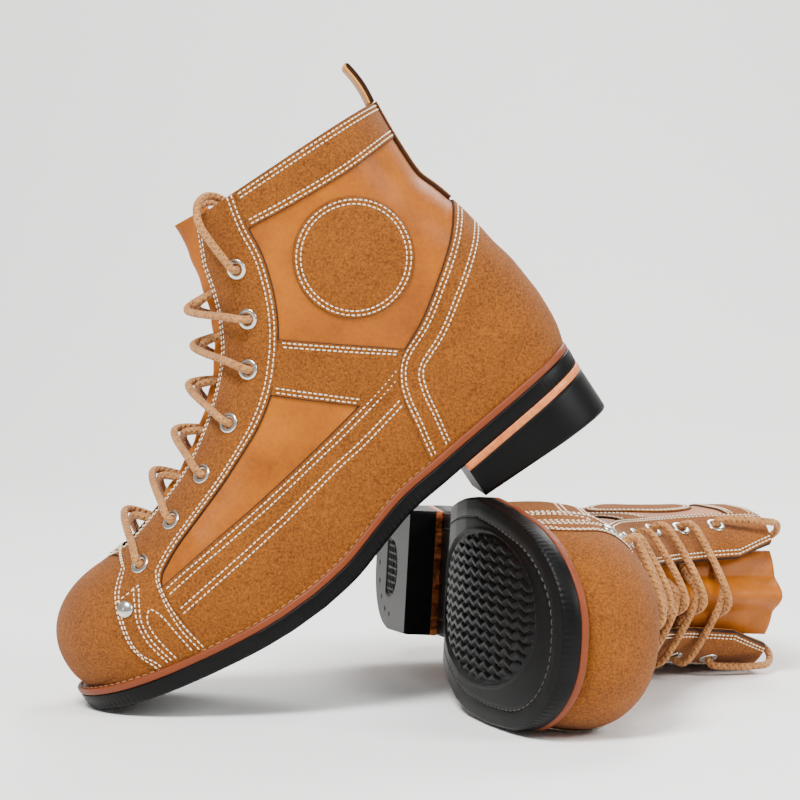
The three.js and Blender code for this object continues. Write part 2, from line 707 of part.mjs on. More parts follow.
// ---- Upper ---------------------------------------------------------------------------------------------------
const line = (points, divisions) => curve(points, divisions).map(grade);
const eyestayRear = line(EYESTAY_REAR, 26);
const bandFront = line(BAND_FRONT, 10);
const foxingTop = line(FOXING_TOP, 10);
const counterFront = line(COUNTER_FRONT, 8);
const counterTop = line(COUNTER_TOP, 12);
const collarLow = line(COLLAR_LOW, 6);
const far = (points) => points.map(grade);

/** Where a pattern line that falls in height passes a height. */
function crossing(points, height) {
  const k = points.findIndex(([, z]) => z < height);
  const [a, b] = [points[k - 1], points[k]];
  const part = (a[1] - height) / (a[1] - b[1]);
  return [THREE.MathUtils.lerp(a[0], b[0], part), height];
}

/** The rear edge of the eyestay between two heights, from the top down, with its two end points. */
function rearEdge(high, low) {
  const inner = eyestayRear.filter(([, z]) => z < high - 0.5 && z > low + 0.5);
  return [crossing(eyestayRear, high), ...inner, crossing(eyestayRear, low)];
}

/** Everything over the welt, so that leather and lining stop above it. */
function aboveWelt() {
  const rings = stations(HEEL_END - 20, TOE_END + 20, 24).map((x) => [
    new THREE.Vector3(x, -HALF_SPAN, BOOT_HEIGHT + 60), new THREE.Vector3(x, HALF_SPAN, BOOT_HEIGHT + 60),
    new THREE.Vector3(x, HALF_SPAN, seatZ(x) + SEAT_CLEARANCE),
    new THREE.Vector3(x, -HALF_SPAN, seatZ(x) + SEAT_CLEARANCE),
  ]);
  return solid(loft(rings));
}

/** The pattern outlines of one side, as loops of side-view points. */
function outlines() {
  const collarZ = collarLow[0][1];
  const foxingZ = foxingTop[0][1];
  const [strapTopFront, strapTopBack] = STRAP_UPPER.map(grade);
  const [strapLowFront, strapLowBack] = STRAP_LOWER.map(grade);
  const topZ = eyestayRear[0][1] - 0.5;
  const footZ = eyestayRear[eyestayRear.length - 1][1] + 0.5;
  const strapFoot = foxingTop.filter(([x]) => x < strapLowBack[0] - 2);
  const overCollar = far([[-25, 215]]);
  return {
    vamp: [...bandFront, ...far([[330, 8], [330, 95]])],
    eyestay: [
      ...eyestayRear, ...[...bandFront].reverse(), ...far([[215, 120], [160, 165], [150, 215], [92.5, 215]]),
    ],
    foxing: [...rearEdge(foxingZ, footZ), ...[...counterFront].reverse(), ...[...foxingTop].reverse().slice(1, -1)],
    counter: [...counterTop, ...far([[-25, 10]]), ...[...counterFront].reverse().slice(0, -1)],
    collar_band: [...rearEdge(topZ, collarZ), ...collarLow.slice(1), ...overCollar, ...far([[92.5, 215]])],
    quarter: [
      ...rearEdge(collarZ, foxingZ), ...foxingTop.slice(1), ...counterTop.slice(1),
      ...[...collarLow].reverse().slice(0, -1),
    ],
    ankle_strap: [
      ...rearEdge(strapTopFront[1], strapLowFront[1]), strapLowBack, ...strapFoot.slice(0, -1), strapTopBack,
    ],
  };
}

/** The disc-shaped patch over the ankle. */
function patchOutline() {
  const [x, z] = grade(PATCH_CENTRE);
  const points = [];
  for (let k = 0; k < 24; k += 1) {
    const angle = (k / 24) * 2 * Math.PI;
    points.push([x + PATCH_RADIUS * Math.cos(angle), z + PATCH_RADIUS * Math.sin(angle)]);
  }
  return points;
}

/** A strip of a half width along a row of eyelets. */
function rowOutline(half) {
  const marks = EYELETS.map(grade);
  const path = new THREE.SplineCurve(marks.map(([x, z]) => new THREE.Vector2(x, z)));
  const upper = [];
  const lower = [];
  const steps = 6;
  for (let k = 0; k <= steps; k += 1) {
    const point = path.getPoint(k / steps);
    const tangent = path.getTangent(k / steps);
    const stretch = k === 0 ? -half : (k === steps ? half : 0);
    const x = point.x + tangent.x * stretch;
    const z = point.y + tangent.y * stretch;
    upper.push([x - tangent.y * half, z + tangent.x * half]);
    lower.push([x + tangent.y * half, z - tangent.x * half]);
  }
  return [...upper, ...lower.reverse()];
}

/** Lining, panels, eyelet rows and rivets. */
function upperPieces() {
  const above = aboveWelt();
  const throat = ribbon(frontLine, THROAT, 40, 25);
  const outer = skinLayer(surface, SKIN_BASE, SKIN_TOP).intersect(above);
  const tapeTop = SKIN_BASE + TAPE_THICKNESS;
  const eyestayLayer = skinLayer(surface, tapeTop + GAP, SKIN_TOP).intersect(above).subtract(throat);
  const tapeLayer = skinLayer(surface, SKIN_BASE, tapeTop);
  const quarterTop = SKIN_BASE + QUARTER_THICKNESS;
  const quarterLayer = skinLayer(surface, SKIN_BASE, quarterTop).intersect(above);
  const overlayLayer = skinLayer(surface, quarterTop + GAP, quarterTop + GAP + OVERLAY_THICKNESS).intersect(above);
  const outline = outlines();
  const throatMiddle = middleY(frontLine.at(THROAT[0][0])[0]);
  const backstay = backRibbon(BACKSTAY_HALF_WIDTH);
  const besideBackstay = backRibbon(BACKSTAY_HALF_WIDTH + GAP);
  const pieces = {
    vamp: outer.intersect(prism(outline.vamp, 0)).subtract(throat),
    counter: outer.intersect(prism(outline.counter, 0)),
  };
  let lining = skinLayer(surface, -SKIN_BASE - LINING_THICKNESS, -SKIN_BASE).intersect(above).subtract(throat);
  const aboveCounter = [...counterTop, ...far([[-25, 230], [60, 230]])];
  pieces.backstay = outer.intersect(backstay).intersect(prism(aboveCounter, 0));
  for (const [name, side] of [['lateral', 1], ['medial', -1]]) {
    pieces[`foxing_${name}`] = outer.intersect(prism(outline.foxing, side));
    pieces[`collar_band_${name}`] = outer.intersect(prism(outline.collar_band, side)).subtract(besideBackstay);
    pieces[`quarter_${name}`] = quarterLayer.intersect(prism(outline.quarter, side)).subtract(besideBackstay);
    pieces[`ankle_strap_${name}`] = overlayLayer.intersect(prism(outline.ankle_strap, side));
    pieces[`ankle_patch_${name}`] = overlayLayer.intersect(prism(patchOutline(), side));
    let eyestay = eyestayLayer.intersect(prism(outline.eyestay, side, throatMiddle));
    let tape = tapeLayer.intersect(prism(rowOutline(EYELET_FLANGE_RADIUS + 0.4), side));
    for (const mark of EYELETS) {
      const frame = fittingFrame(mark, side);
      const hole = bore(frame, BARREL_RADIUS + GAP);
      eyestay = eyestay.subtract(hole);
      tape = tape.add(eyelet(frame)).subtract(bore(frame, EYELET_BORE_RADIUS));
    }
    lining = lining.subtract(prism(rowOutline(BARREL_RADIUS + 3 * GAP), side));
    const stud = fittingFrame(RIVET, side);
    pieces[`eyestay_${name}`] = eyestay.subtract(bore(stud, RIVET_SHANK_RADIUS + 2 * GAP));
    pieces[`eyelet_row_${name}`] = tape;
    pieces[`rivet_${name}`] = rivet(stud);
  }
  pieces.lining = lining;
  return Object.fromEntries(Object.entries(pieces).map(([name, body]) => [name, shape(body)]));
}

/** The band over the back seam as a solid, for cutting the skin's layers. */
function backRibbon(half) {
  const rings = [0, 0.3, 0.5, 0.7, 0.85, 1.1].map((share) => {
    const [x, z] = backLine.at(share);
    return [
      new THREE.Vector3(x - 25, -half, z), new THREE.Vector3(x + 25, -half, z),
      new THREE.Vector3(x + 25, half, z), new THREE.Vector3(x - 25, half, z),
    ];
  });
  return solid(loft(rings));
}

// ---- Tongue and pull tab ---------------------------------------------------------------------------------------
const LACE_RADIUS = LACE_DIAMETER / 2;
const LACE_INSIDE = -SKIN_BASE - LINING_THICKNESS - LACE_RADIUS - 4 * LACE_CLEARANCE;
const TONGUE_DROP = LACE_RADIUS + 3 * LACE_CLEARANCE - LACE_INSIDE;
const TONGUE_SHARES = [0.3, 0.33, 0.37, 0.42, 0.49, 0.57, 0.65, 0.73, 0.82, 0.91, 1];
const TONGUE_CREST = 2;

/** The tongue: a strip that follows the ridge and dips under the facings. */
function tongue() {
  const rings = TONGUE_SHARES.map((share) => {
    const half = 22 + 7 * smooth(0.3, 0.9, share);
    const sunk = 1 - smooth(0.37, 0.47, share);
    const crest = THREE.MathUtils.lerp(TONGUE_CREST, -TONGUE_DROP, sunk);
    const place = (y, lift) => {
      const height = THREE.MathUtils.lerp(crest, -TONGUE_DROP, smooth(0, 13, Math.abs(y)));
      return overRidge(share, y, height + lift);
    };
    const across = [-1, -0.62, -0.3, 0, 0.3, 0.62, 1].map((part) => part * half);
    return [...across.map((y) => place(y, 0)), ...[...across].reverse().map((y) => place(y, -TONGUE_THICKNESS))];
  });
  return loft(rings);
}

const [COLLAR_BACK_X, COLLAR_BACK_Z] = backLine.at(1);
const TAB_FOOT = COLLAR_BACK_Z + 3.6;

/** The pull tab: a strap folded over into a loop that stands on the back of the collar. */
function pullTab() {
  const half = PULL_TAB_THICKNESS / 2;
  const outer = new THREE.Shape();
  outer.moveTo(-half, 0);
  outer.lineTo(half, 0);
  outer.lineTo(half, PULL_TAB_HEIGHT - half);
  outer.absarc(0, PULL_TAB_HEIGHT - half, half, 0, Math.PI, false);
  outer.lineTo(-half, 0);
  const wall = 1.8;
  const slit = new THREE.Path();
  slit.moveTo(-half + wall, wall);
  slit.lineTo(-half + wall, PULL_TAB_HEIGHT - half);
  slit.lineTo(half - wall, PULL_TAB_HEIGHT - half);
  slit.lineTo(half - wall, wall);
  slit.lineTo(-half + wall, wall);
  outer.holes.push(slit);
  const width = 2 * BACKSTAY_HALF_WIDTH - 1;
  const geometry = new THREE.ExtrudeGeometry(outer, { depth: width, bevelEnabled: false, curveSegments: 6 });
  geometry.rotateX(Math.PI / 2);
  geometry.translate(COLLAR_BACK_X, width / 2, TAB_FOOT);
  return geometry;
}

// ---- Lace --------------------------------------------------------------------------------------------------------
/** A chain of points as a path: its steps fall on the points. */
class Route extends THREE.Curve {
  constructor(points) {
    super();
    this.points = points;
  }

  getPoint(share) {
    const run = clamp01(share) * (this.points.length - 1);
    const k = Math.min(this.points.length - 2, Math.floor(run));
    return this.points[k].clone().lerp(this.points[k + 1], run - k);
  }

  getPointAt(share) {
    return this.getPoint(share);
  }

  getTangentAt(share) {
    const step = 0.5 / (this.points.length - 1);
    return this.getPoint(share + step).sub(this.getPoint(share - step)).normalize();
  }
}

// Height of each crossing over the ridge, from the toe: the strand that starts outside, then the other.
const CROSSINGS = [[13.5, 8.5], [8.5, 13.5], [13.5, 8.5], [8.5, 13.5], [13.5, 8.5], [8.5, 13.5]];
const LACE_OUTSIDE = FLANGE_TOP + LACE_RADIUS + 4 * LACE_CLEARANCE;
const DIVE_FROM_EDGE = 3.5;

/** One strand: it comes up through an eyelet, crosses the tongue and dives under the other facing. */
function strand(startSide, frames) {
  const shares = EYELETS.map((mark) => frontLine.nearest(...grade(mark)).share);
  const points = [];
  let side = startSide;
  EYELETS.forEach((mark, k) => {
    const frame = frames[side][k];
    const reach = Math.abs(frame.foot.y - middleY(frame.foot.x));
    const before = THREE.MathUtils.lerp(shares[k], shares[Math.max(0, k - 1)], 0.12);
    const after = THREE.MathUtils.lerp(shares[k], shares[Math.min(shares.length - 1, k + 1)], 0.12);
    if (k > 0) {
      const edge = read(THROAT, before) - DIVE_FROM_EDGE;
      points.push(overRidge(THREE.MathUtils.lerp(before, shares[k - 1], 0.12), side * edge, LACE_INSIDE));
    }
    points.push(overRidge(before, side * (reach - LACE_BEND), LACE_INSIDE));
    points.push(frame.foot.clone().addScaledVector(frame.normal, LINING_FOOT - 1.4));
    points.push(frame.foot.clone().addScaledVector(frame.normal, FLANGE_TOP + 1.2));
    if (k < EYELETS.length - 1) {
      points.push(overRidge(after, side * (reach - LACE_BEND), LACE_OUTSIDE));
      points.push(overRidge((shares[k] + shares[k + 1]) / 2, 0, CROSSINGS[k][startSide > 0 ? 0 : 1]));
      side = -side;
    }
  });
  return { points, side, toeShare: shares[0] };
}

/** The route of the lace: a bar at the toe end, two strands that cross six times, and two tails. */
function laceRoute() {
  const frames = {};
  for (const side of [1, -1]) frames[side] = EYELETS.map((mark) => fittingFrame(mark, side));
  const first = strand(1, frames);
  const second = strand(-1, frames);
  const bar = [8, 0, -8].map((y) => overRidge(first.toeShare, y, LACE_INSIDE + 1));
  const [firstTail, secondTail] = [first, second].map(({ side }) => tail(frames[side][EYELETS.length - 1], side));
  return [...firstTail.reverse(), ...first.points.reverse(), ...bar, ...second.points, ...secondTail];
}

/** The end of the lace: from the top eyelet over the collar and down inside the shaft. */
function tail(frame, side) {
  const [topX, topZ] = grade([113, 200]);
  const rim = skinPoint(topX - 6, topZ - 1, side);
  const inward = rim.y - side * (LINING_THICKNESS + SKIN_BASE + LACE_RADIUS + 1.6);
  return [
    frame.foot.clone().addScaledVector(frame.normal, 8).add(new THREE.Vector3(0, 0, 5)),
    new THREE.Vector3(topX + 4, rim.y + side * 6, topZ - 6),
    new THREE.Vector3(topX, rim.y + side * 4.5, topZ + 4),
    new THREE.Vector3(topX - 7, rim.y - side * 1, topZ + 6.5),
    new THREE.Vector3(topX - 13, inward, topZ + 1),
    new THREE.Vector3(topX - 16, inward, topZ - 12),
    new THREE.Vector3(topX - 19, inward, topZ - 0.5 * LACE_TAIL),
  ];
}

/** The lace as a body with round section. */
function lace() {
  const points = laceRoute();
  const corners = [0, 1, 2, 3, 4, 5].map((k) => (k * Math.PI) / 3);
  const section = new THREE.Shape(
    corners.map((angle) => new THREE.Vector2(LACE_RADIUS * Math.cos(angle), LACE_RADIUS * Math.sin(angle))),
  );
  return new THREE.ExtrudeGeometry(section, {
    steps: points.length - 1,
    extrudePath: new Route(points),
    bevelEnabled: false,
  });
}

// ---- Looks --------------------------------------------------------------------------------------------------------
const LOOKS = {
  suede: { color: 0x9c6a3a, roughness: 0.95, metalness: 0 },
  smooth: { color: 0xc9792c, roughness: 0.5, metalness: 0 },
  lining: { color: 0xb8792a, roughness: 0.7, metalness: 0 },
  rubber: { color: 0x1c1c1e, roughness: 0.8, metalness: 0 },
  welt: { color: 0x9a5230, roughness: 0.6, metalness: 0 },
  lift: { color: 0xcc7438, roughness: 0.55, metalness: 0 },
  cork: { color: 0xa98458, roughness: 0.95, metalness: 0 },
  steel: { color: 0x8c8f94, roughness: 0.35, metalness: 1 },
  nickel: { color: 0xc9c7c0, roughness: 0.25, metalness: 1 },
  lace: { color: 0xc29464, roughness: 0.9, metalness: 0 },
};
const LOOK_OF = {
  outsole: 'rubber', heel_block: 'rubber', heel_lift: 'lift', welt: 'welt', insole: 'lining',
  cork_filler: 'cork', shank: 'steel', vamp: 'suede', counter: 'suede', backstay: 'suede',
  foxing: 'suede', collar_band: 'suede', eyestay: 'suede', ankle_strap: 'suede', ankle_patch: 'suede',
  quarter: 'smooth', tongue: 'smooth', pull_tab: 'suede', lining: 'lining', lace: 'lace',
  eyelet_row: 'nickel', rivet: 'nickel',
};

// ---- Assembly -----------------------------------------------------------------------------------------------------
/** All pieces of a left boot, by name. */
function bootPieces() {
  return { ...solePieces(), ...upperPieces(), tongue: tongue(), pull_tab: pullTab(), lace: lace() };
}

/** A geometry mirrored from the left boot to the right boot, still facing out. */
function mirrored(geometry) {
  const copy = geometry.index ? geometry.clone() : mergeVertices(geometry.clone(), 1e-4);
  copy.deleteAttribute('normal');
  copy.deleteAttribute('uv');
  copy.scale(1, -1, 1);
  const index = copy.index.array;
  for (let k = 0; k < index.length; k += 3) [index[k], index[k + 1]] = [index[k + 1], index[k]];
  return copy;
}

/** One boot as a group of named meshes. */
function boot(prefix, pieces, mirror) {
  const group = new THREE.Group();
  for (const [name, geometry] of Object.entries(pieces)) {
    const look = LOOKS[LOOK_OF[name.replace(/_(lateral|medial)$/, '')]];
    const mesh = new THREE.Mesh(mirror ? mirrored(geometry) : geometry, new THREE.MeshStandardMaterial(look));
    mesh.name = `${prefix}_${name}`;
    group.add(mesh);
  }
  return group;
}

const degrees = THREE.MathUtils.degToRad;

/** Turns a boot's frame so that its toe, its left side and its top point along given directions. */
function orient(group, forward, left, up) {
  group.quaternion.setFromRotationMatrix(new THREE.Matrix4().makeBasis(forward, left, up));
}

/** Lowers or lifts a turned group until its lowest point is at a height. */
function standAt(group, height) {
  group.position.z = 0;
  group.updateMatrixWorld(true);
  group.position.z = height - new THREE.Box3().setFromObject(group, true).min.z;
}

const pieces = bootPieces();

const leaning = boot('leaning', pieces, false);
const pitch = degrees(LEAN_PITCH);
const yaw = degrees(LEAN_YAW);
const leaningLeft = new THREE.Vector3(Math.sin(yaw), -Math.cos(yaw), 0);
const leaningForward = new THREE.Vector3(
  -Math.cos(pitch) * Math.cos(yaw),
  -Math.cos(pitch) * Math.sin(yaw),
  -Math.sin(pitch),
);
orient(leaning, leaningForward, leaningLeft, leaningForward.clone().cross(leaningLeft));
standAt(leaning, 0);

const lying = boot('lying', pieces, true);
const turn = degrees(LYING_TURN);
const roll = Math.atan(LYING_FALL / BOOT_HEIGHT);
const lyingForward = new THREE.Vector3(Math.sin(turn), -Math.cos(turn), 0);
const lyingUp = new THREE.Vector3(
  Math.cos(roll) * Math.cos(turn),
  Math.cos(roll) * Math.sin(turn),
  -Math.sin(roll),
);
orient(lying, lyingForward, lyingUp.clone().cross(lyingForward), lyingUp);
lying.position.set(LYING_PLACE[0], LYING_PLACE[1], 0);
standAt(lying, 0);

const pair = new THREE.Group();
pair.add(leaning, lying);
pair.updateMatrixWorld(true);
const span = new THREE.Box3().setFromObject(pair, true);
const middle = span.getCenter(new THREE.Vector3());
pair.position.set(-middle.x, -middle.y, -span.min.z);

export default pair;
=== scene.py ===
"""A pair of lace-to-toe leather work boots: one lies on its side, the other leans over it.

Each boot is worked out in its own frame in millimetres, as a left boot: +X to the toe, +Y to the
outer side, +Z up. A BootFrame takes the points to the row frame in metres; the right boot is mirrored.
"""

import logging
import math
from dataclasses import dataclass, field
from enum import Enum
from typing import Callable, Sequence

import bmesh
import bpy
import numpy as np
from mathutils import Matrix, Vector


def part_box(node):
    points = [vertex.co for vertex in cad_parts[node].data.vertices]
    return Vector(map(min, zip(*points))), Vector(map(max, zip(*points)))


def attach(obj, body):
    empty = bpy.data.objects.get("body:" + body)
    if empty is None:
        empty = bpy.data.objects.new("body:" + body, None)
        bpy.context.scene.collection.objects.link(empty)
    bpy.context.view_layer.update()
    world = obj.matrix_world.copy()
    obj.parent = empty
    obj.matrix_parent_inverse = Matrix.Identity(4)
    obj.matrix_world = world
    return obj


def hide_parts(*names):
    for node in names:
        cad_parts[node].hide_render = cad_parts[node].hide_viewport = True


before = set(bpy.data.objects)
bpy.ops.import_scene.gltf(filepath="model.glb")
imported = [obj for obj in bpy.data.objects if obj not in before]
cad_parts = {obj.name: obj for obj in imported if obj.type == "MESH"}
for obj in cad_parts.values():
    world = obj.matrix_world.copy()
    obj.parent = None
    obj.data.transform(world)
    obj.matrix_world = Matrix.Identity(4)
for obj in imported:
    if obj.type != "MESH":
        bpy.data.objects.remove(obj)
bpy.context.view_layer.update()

LOG = logging.getLogger("boots")
Array = np.ndarray

# Lasts and pattern lines, seen from the side, in millimetres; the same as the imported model's.
SOLE_BACK, SOLE_TIP, HEEL_BREAST, HEEL_HEIGHT = -8.0, 304.0, 72.0, 19.0
WIDTH_GRADE = 110 / 107
LIFT_GAP, LIFT_THICKNESS = 0.3, 3.4
BRAID_PITCH, BRAID_PLAITS = 3.4, 3.0
WELT_STITCH, SOLE_STITCH = (4.2, 0.42), (4.4, 0.5)  # a stitch's pitch and radius
THROAT_START, HEEL_GRID = 0.302, 4.2
OUTSOLE_THICKNESS, SOLE_GAP, WELT_THICKNESS, WELT_REACH = 8.7, 0.5, 3.7, 5.5
HEEL_PITCH, ROUNDNESS, TOE_TIP = 0.115, 2.3, 300.0
FRONT_RIDGE = [(258, 77.5), (240, 79), (222, 84.5), (205, 91), (188, 99), (172, 110), (158, 122),
               (147, 134), (139, 147), (133, 162), (129, 178), (126, 192), (125, 200)]
BACK_PROFILE = [(-4.5, 39), (-8, 52), (-9, 68), (-8.5, 77), (-7, 92), (-4, 105), (-2, 118),
                (0.7, 131), (4.6, 145), (8.5, 156), (9, 170), (8.5, 186), (7.5, 200)]
OUTER_WIDTH = [(-8, 34.5), (30, 36), (72, 36), (110, 38.5), (150, 44.5), (185, 51), (207, 54),
               (235, 53), (262, 49.5), (304, 44)]
INNER_WIDTH = [(-8, 34.5), (30, 36), (72, 33.5), (100, 31), (130, 33), (160, 41), (190, 50),
               (207, 53), (235, 52.5), (262, 49), (304, 44)]
WAIST_DROP = [(72, 1), (85, 0.92), (107, 0.79), (128, 0.5), (150, 0.16), (172, 0.01)]
TOE_RISE = [(192, 0), (213, 0.075), (235, 0.21), (257, 0.38), (278, 0.6), (294, 0.825), (304, 1)]
RUNGS = [(0, 0), (0.28, 0.075), (0.474, 0.225), (0.612, 0.41), (0.68, 0.52), (0.74, 0.63),
         (0.796, 0.7), (0.856, 0.775), (0.916, 0.875), (1, 1)]
THROAT = [(0.3, 3), (0.315, 9), (0.35, 13), (0.45, 16.5), (0.6, 17.5), (0.8, 18), (0.92, 20), (1.03, 31)]
EYESTAY_REAR = [(92.2, 201), (96, 183.7), (98, 166.3), (102.4, 151), (107.9, 138), (114.4, 127),
                (124.2, 114), (134, 104.3), (148, 94.5), (163.3, 87), (180.7, 79.3), (198, 72.8),
                (213.3, 67.3), (223, 63), (231.8, 57.6), (234.4, 48.9), (234, 35.8), (232.4, 24), (231, 14)]
BAND_FRONT = [(236, 95), (247, 72), (258.5, 62), (264.4, 42), (262, 28), (258, 12)]
FOXING_TOP = [(240, 53.5), (231.8, 55), (202.4, 59.3), (169.8, 63.4), (137.2, 68.4), (104.6, 74.5),
              (82.9, 79.7),
              (58, 88)]
COUNTER_FRONT = [(67.7, 85.2), (76.3, 76), (80.7, 64), (82.9, 51), (86, 33.7), (88, 12)]
COUNTER_TOP = [(67.7, 85.2), (50.3, 93.4), (32.9, 105.4), (17.7, 117.3), (9, 126), (0.7, 135.8)]
COLLAR_LOW = [(104, 181), (96, 180.4), (72, 178.2), (39.4, 176.7), (8.3, 178.9)]
STRAP_UPPER = [(120, 130.5), (114.4, 125), (63.3, 85), (56, 79)]
STRAP_LOWER = [(140, 109), (134, 103.2), (100.3, 73.9), (92, 67)]
EYELETS = [(237, 68), (211.5, 77.5), (185.5, 88.5), (159.5, 103), (136, 120.6), (121.6, 142.5), (112.2, 167)]
RIVET = (255.5, 54.5)
PATCH_CENTRE, PATCH_RADIUS = (61.2, 139.3), 31.0
LACE_DIAMETER, LACE_BEND, LACE_TAIL = 4.2, 4.6, 120.0
BACKSTAY_HALF, PULL_TAB_HEIGHT = 9.5, 22.0

# Pose of the pair, in degrees.
LEAN_PITCH, LEAN_YAW, LYING_TURN = 33.6, 3.4, 12.5
# How far a boot's side falls in from its welt to its collar, and the height over which it does.
LYING_FALL, BOOT_HEIGHT = 11.88, 200.0

# Heights over the skin at which the layers of leather end, in millimetres.
LINING_IN, LAYER_FOOT = -1.4, 0.05
QUARTER_TOP, VAMP_TOP, FOXING_RISE, COLLAR_RISE, STRAP_TOP = 1.5, 2.4, 2.7, 2.7, 2.9
COUNTER_RISE, EYESTAY_TOP, BACKSTAY_TOP = 3.3, 3.2, 4.1


# ---- Numbers ------------------------------------------------------------------------------------
def smooth(low: float, high: float, value: Array) -> Array:
    """Smooth step: 0 below low, 1 above high, with 3 t^2 - 2 t^3 between."""
    t = np.clip((np.asarray(value, float) - low) / (high - low), 0, 1)
    return t * t * (3 - 2 * t)


def rounding(share: Array) -> Array:
    """Round end of a superellipse: (1 - (1 - share)^p)^(1/p), from 0 to 1."""
    return (1 - (1 - np.clip(share, 0, 1)) ** ROUNDNESS) ** (1 / ROUNDNESS)


def table(pairs: Sequence, at: Array) -> Array:
    """Linear reading of a table of (position, value) pairs."""
    pairs = np.asarray(pairs, float)
    return np.interp(at, pairs[:, 0], pairs[:, 1])


def spline(points: Sequence, count: int) -> Array:
    """Points of a smooth curve through the given ones.

    A uniform Catmull-Rom curve: between two points, the cubic whose slope at each one is half the
    step between its neighbours.

    Args:
        points: The points to pass through, in 2-D or 3-D.
        count: The number of steps.

    Returns:
        count + 1 points.
    """
    pts = np.asarray(points, float)
    last = len(pts) - 1
    run = np.linspace(0, last, count + 1)
    k = np.minimum(np.floor(run).astype(int), last)
    t = (run - k)[:, None]
    p0, p1 = pts[np.maximum(k - 1, 0)], pts[k]
    p2, p3 = pts[np.minimum(k + 1, last)], pts[np.minimum(k + 2, last)]
    v0, v1 = (p2 - p0) / 2, (p3 - p1) / 2
    return (2 * p1 - 2 * p2 + v0 + v1) * t**3 + (-3 * p1 + 3 * p2 - 2 * v0 - v1) * t**2 + v0 * t + p1


def unit(vectors: Array) -> Array:
    """Vectors scaled to length 1."""
    return vectors / np.maximum(np.linalg.norm(vectors, axis=-1, keepdims=True), 1e-9)


def resample(points: Array, count: int) -> Array:
    """A chain of points read again at count even steps of its length."""
    pts = np.asarray(points, float)
    reach = np.concatenate([[0], np.cumsum(np.linalg.norm(np.diff(pts, axis=0), axis=1))])
    goal = np.linspace(0, reach[-1], count)
    return np.stack([np.interp(goal, reach, pts[:, k]) for k in range(pts.shape[1])], 1)


class Profile:
    """A chain of side-view points, read by share of its length."""

    def __init__(self, points: Sequence) -> None:
        """Measures the chain."""
        self.points = np.asarray(points, float)
        steps = np.linalg.norm(np.diff(self.points, axis=0), axis=1)
        self.reach = np.concatenate([[0], np.cumsum(steps)])

    def at(self, share: Array) -> Array:
        """Points at shares of the length; past the ends the last step runs straight on."""
        goal = np.asarray(share, float) * self.reach[-1]
        k = np.clip(np.searchsorted(self.reach, goal, side="left"), 1, len(self.points) - 1)
        part = (goal - self.reach[k - 1]) / (self.reach[k] - self.reach[k - 1])
        a, b = self.points[k - 1], self.points[k]
        return a + (b - a) * part[..., None]

    def outward(self, share: Array) -> Array:
        """Directions that point out of the boot: the step of the chain turned a quarter."""
        step = self.at(np.asarray(share) + 0.01) - self.at(np.asarray(share) - 0.01)
        return unit(np.stack([step[..., 1], -step[..., 0]], -1))

    def nearest(self, x: Array, z: Array) -> tuple[Array, Array]:
        """Distance to the chain and the share of the nearest point.

        Each point is projected on every step of the chain, and the nearest foot is kept.
        """
        a, step = self.points[:-1], np.diff(self.points, axis=0)
        square = (step**2).sum(1)
        dx, dz = x[..., None] - a[:, 0], z[..., None] - a[:, 1]
        part = np.clip((dx * step[:, 0] + dz * step[:, 1]) / square, 0, 1)
        distance = np.hypot(dx - step[:, 0] * part, dz - step[:, 1] * part)
        best = distance.argmin(-1)[..., None]
        foot = np.take_along_axis(part, best, -1)[..., 0]
        best = best[..., 0]
        share = (self.reach[best] + foot * (self.reach[best + 1] - self.reach[best])) / self.reach[-1]
        return distance.min(-1), share


# ---- The last: sole line and skin ---------------------------------------------------------------
SOLE_CURVE = np.concatenate([
    spline([(x, s * HEEL_HEIGHT) for x, s in WAIST_DROP], 20),
    spline([(x, s * 20.0) for x, s in TOE_RISE], 24),
])


def sole_z(x: Array) -> Array:
    """Height of the outsole's underside: a slope over the heel, then the waist and toe curve."""
    x = np.asarray(x, float)
    return np.where(x < HEEL_BREAST, HEEL_HEIGHT + (HEEL_BREAST - x) * HEEL_PITCH, table(SOLE_CURVE, x))


def seat_z(x: Array) -> Array:
    """Height of the welt's top, where the upper starts."""
    return sole_z(x) + OUTSOLE_THICKNESS + SOLE_GAP + WELT_THICKNESS


def middle_y(x: Array) -> Array:
    """Sideways place of the boot's middle; the toe turns in by 7 mm."""
    return -7 * smooth(180, 304, x)


def sole_width(x: Array, side: Array) -> Array:
    """Half width of the sole without its round ends, outside for side 1 and inside for side -1."""
    return np.where(np.asarray(side) > 0, table(OUTER_WIDTH, x), table(INNER_WIDTH, x)) * WIDTH_GRADE


def sole_edge(x: Array, side: Array, inset: Array) -> Array:
    """Edge of the sole: its half width less the inset, rounded off at heel and toe."""
    heel = rounding((x - SOLE_BACK - inset + 0.9) / (37 * WIDTH_GRADE))
    toe = rounding((SOLE_TIP - inset + 0.9 - x) / (48 * WIDTH_GRADE))
    return middle_y(x) + side * (sole_width(x, side) - inset) * heel * toe


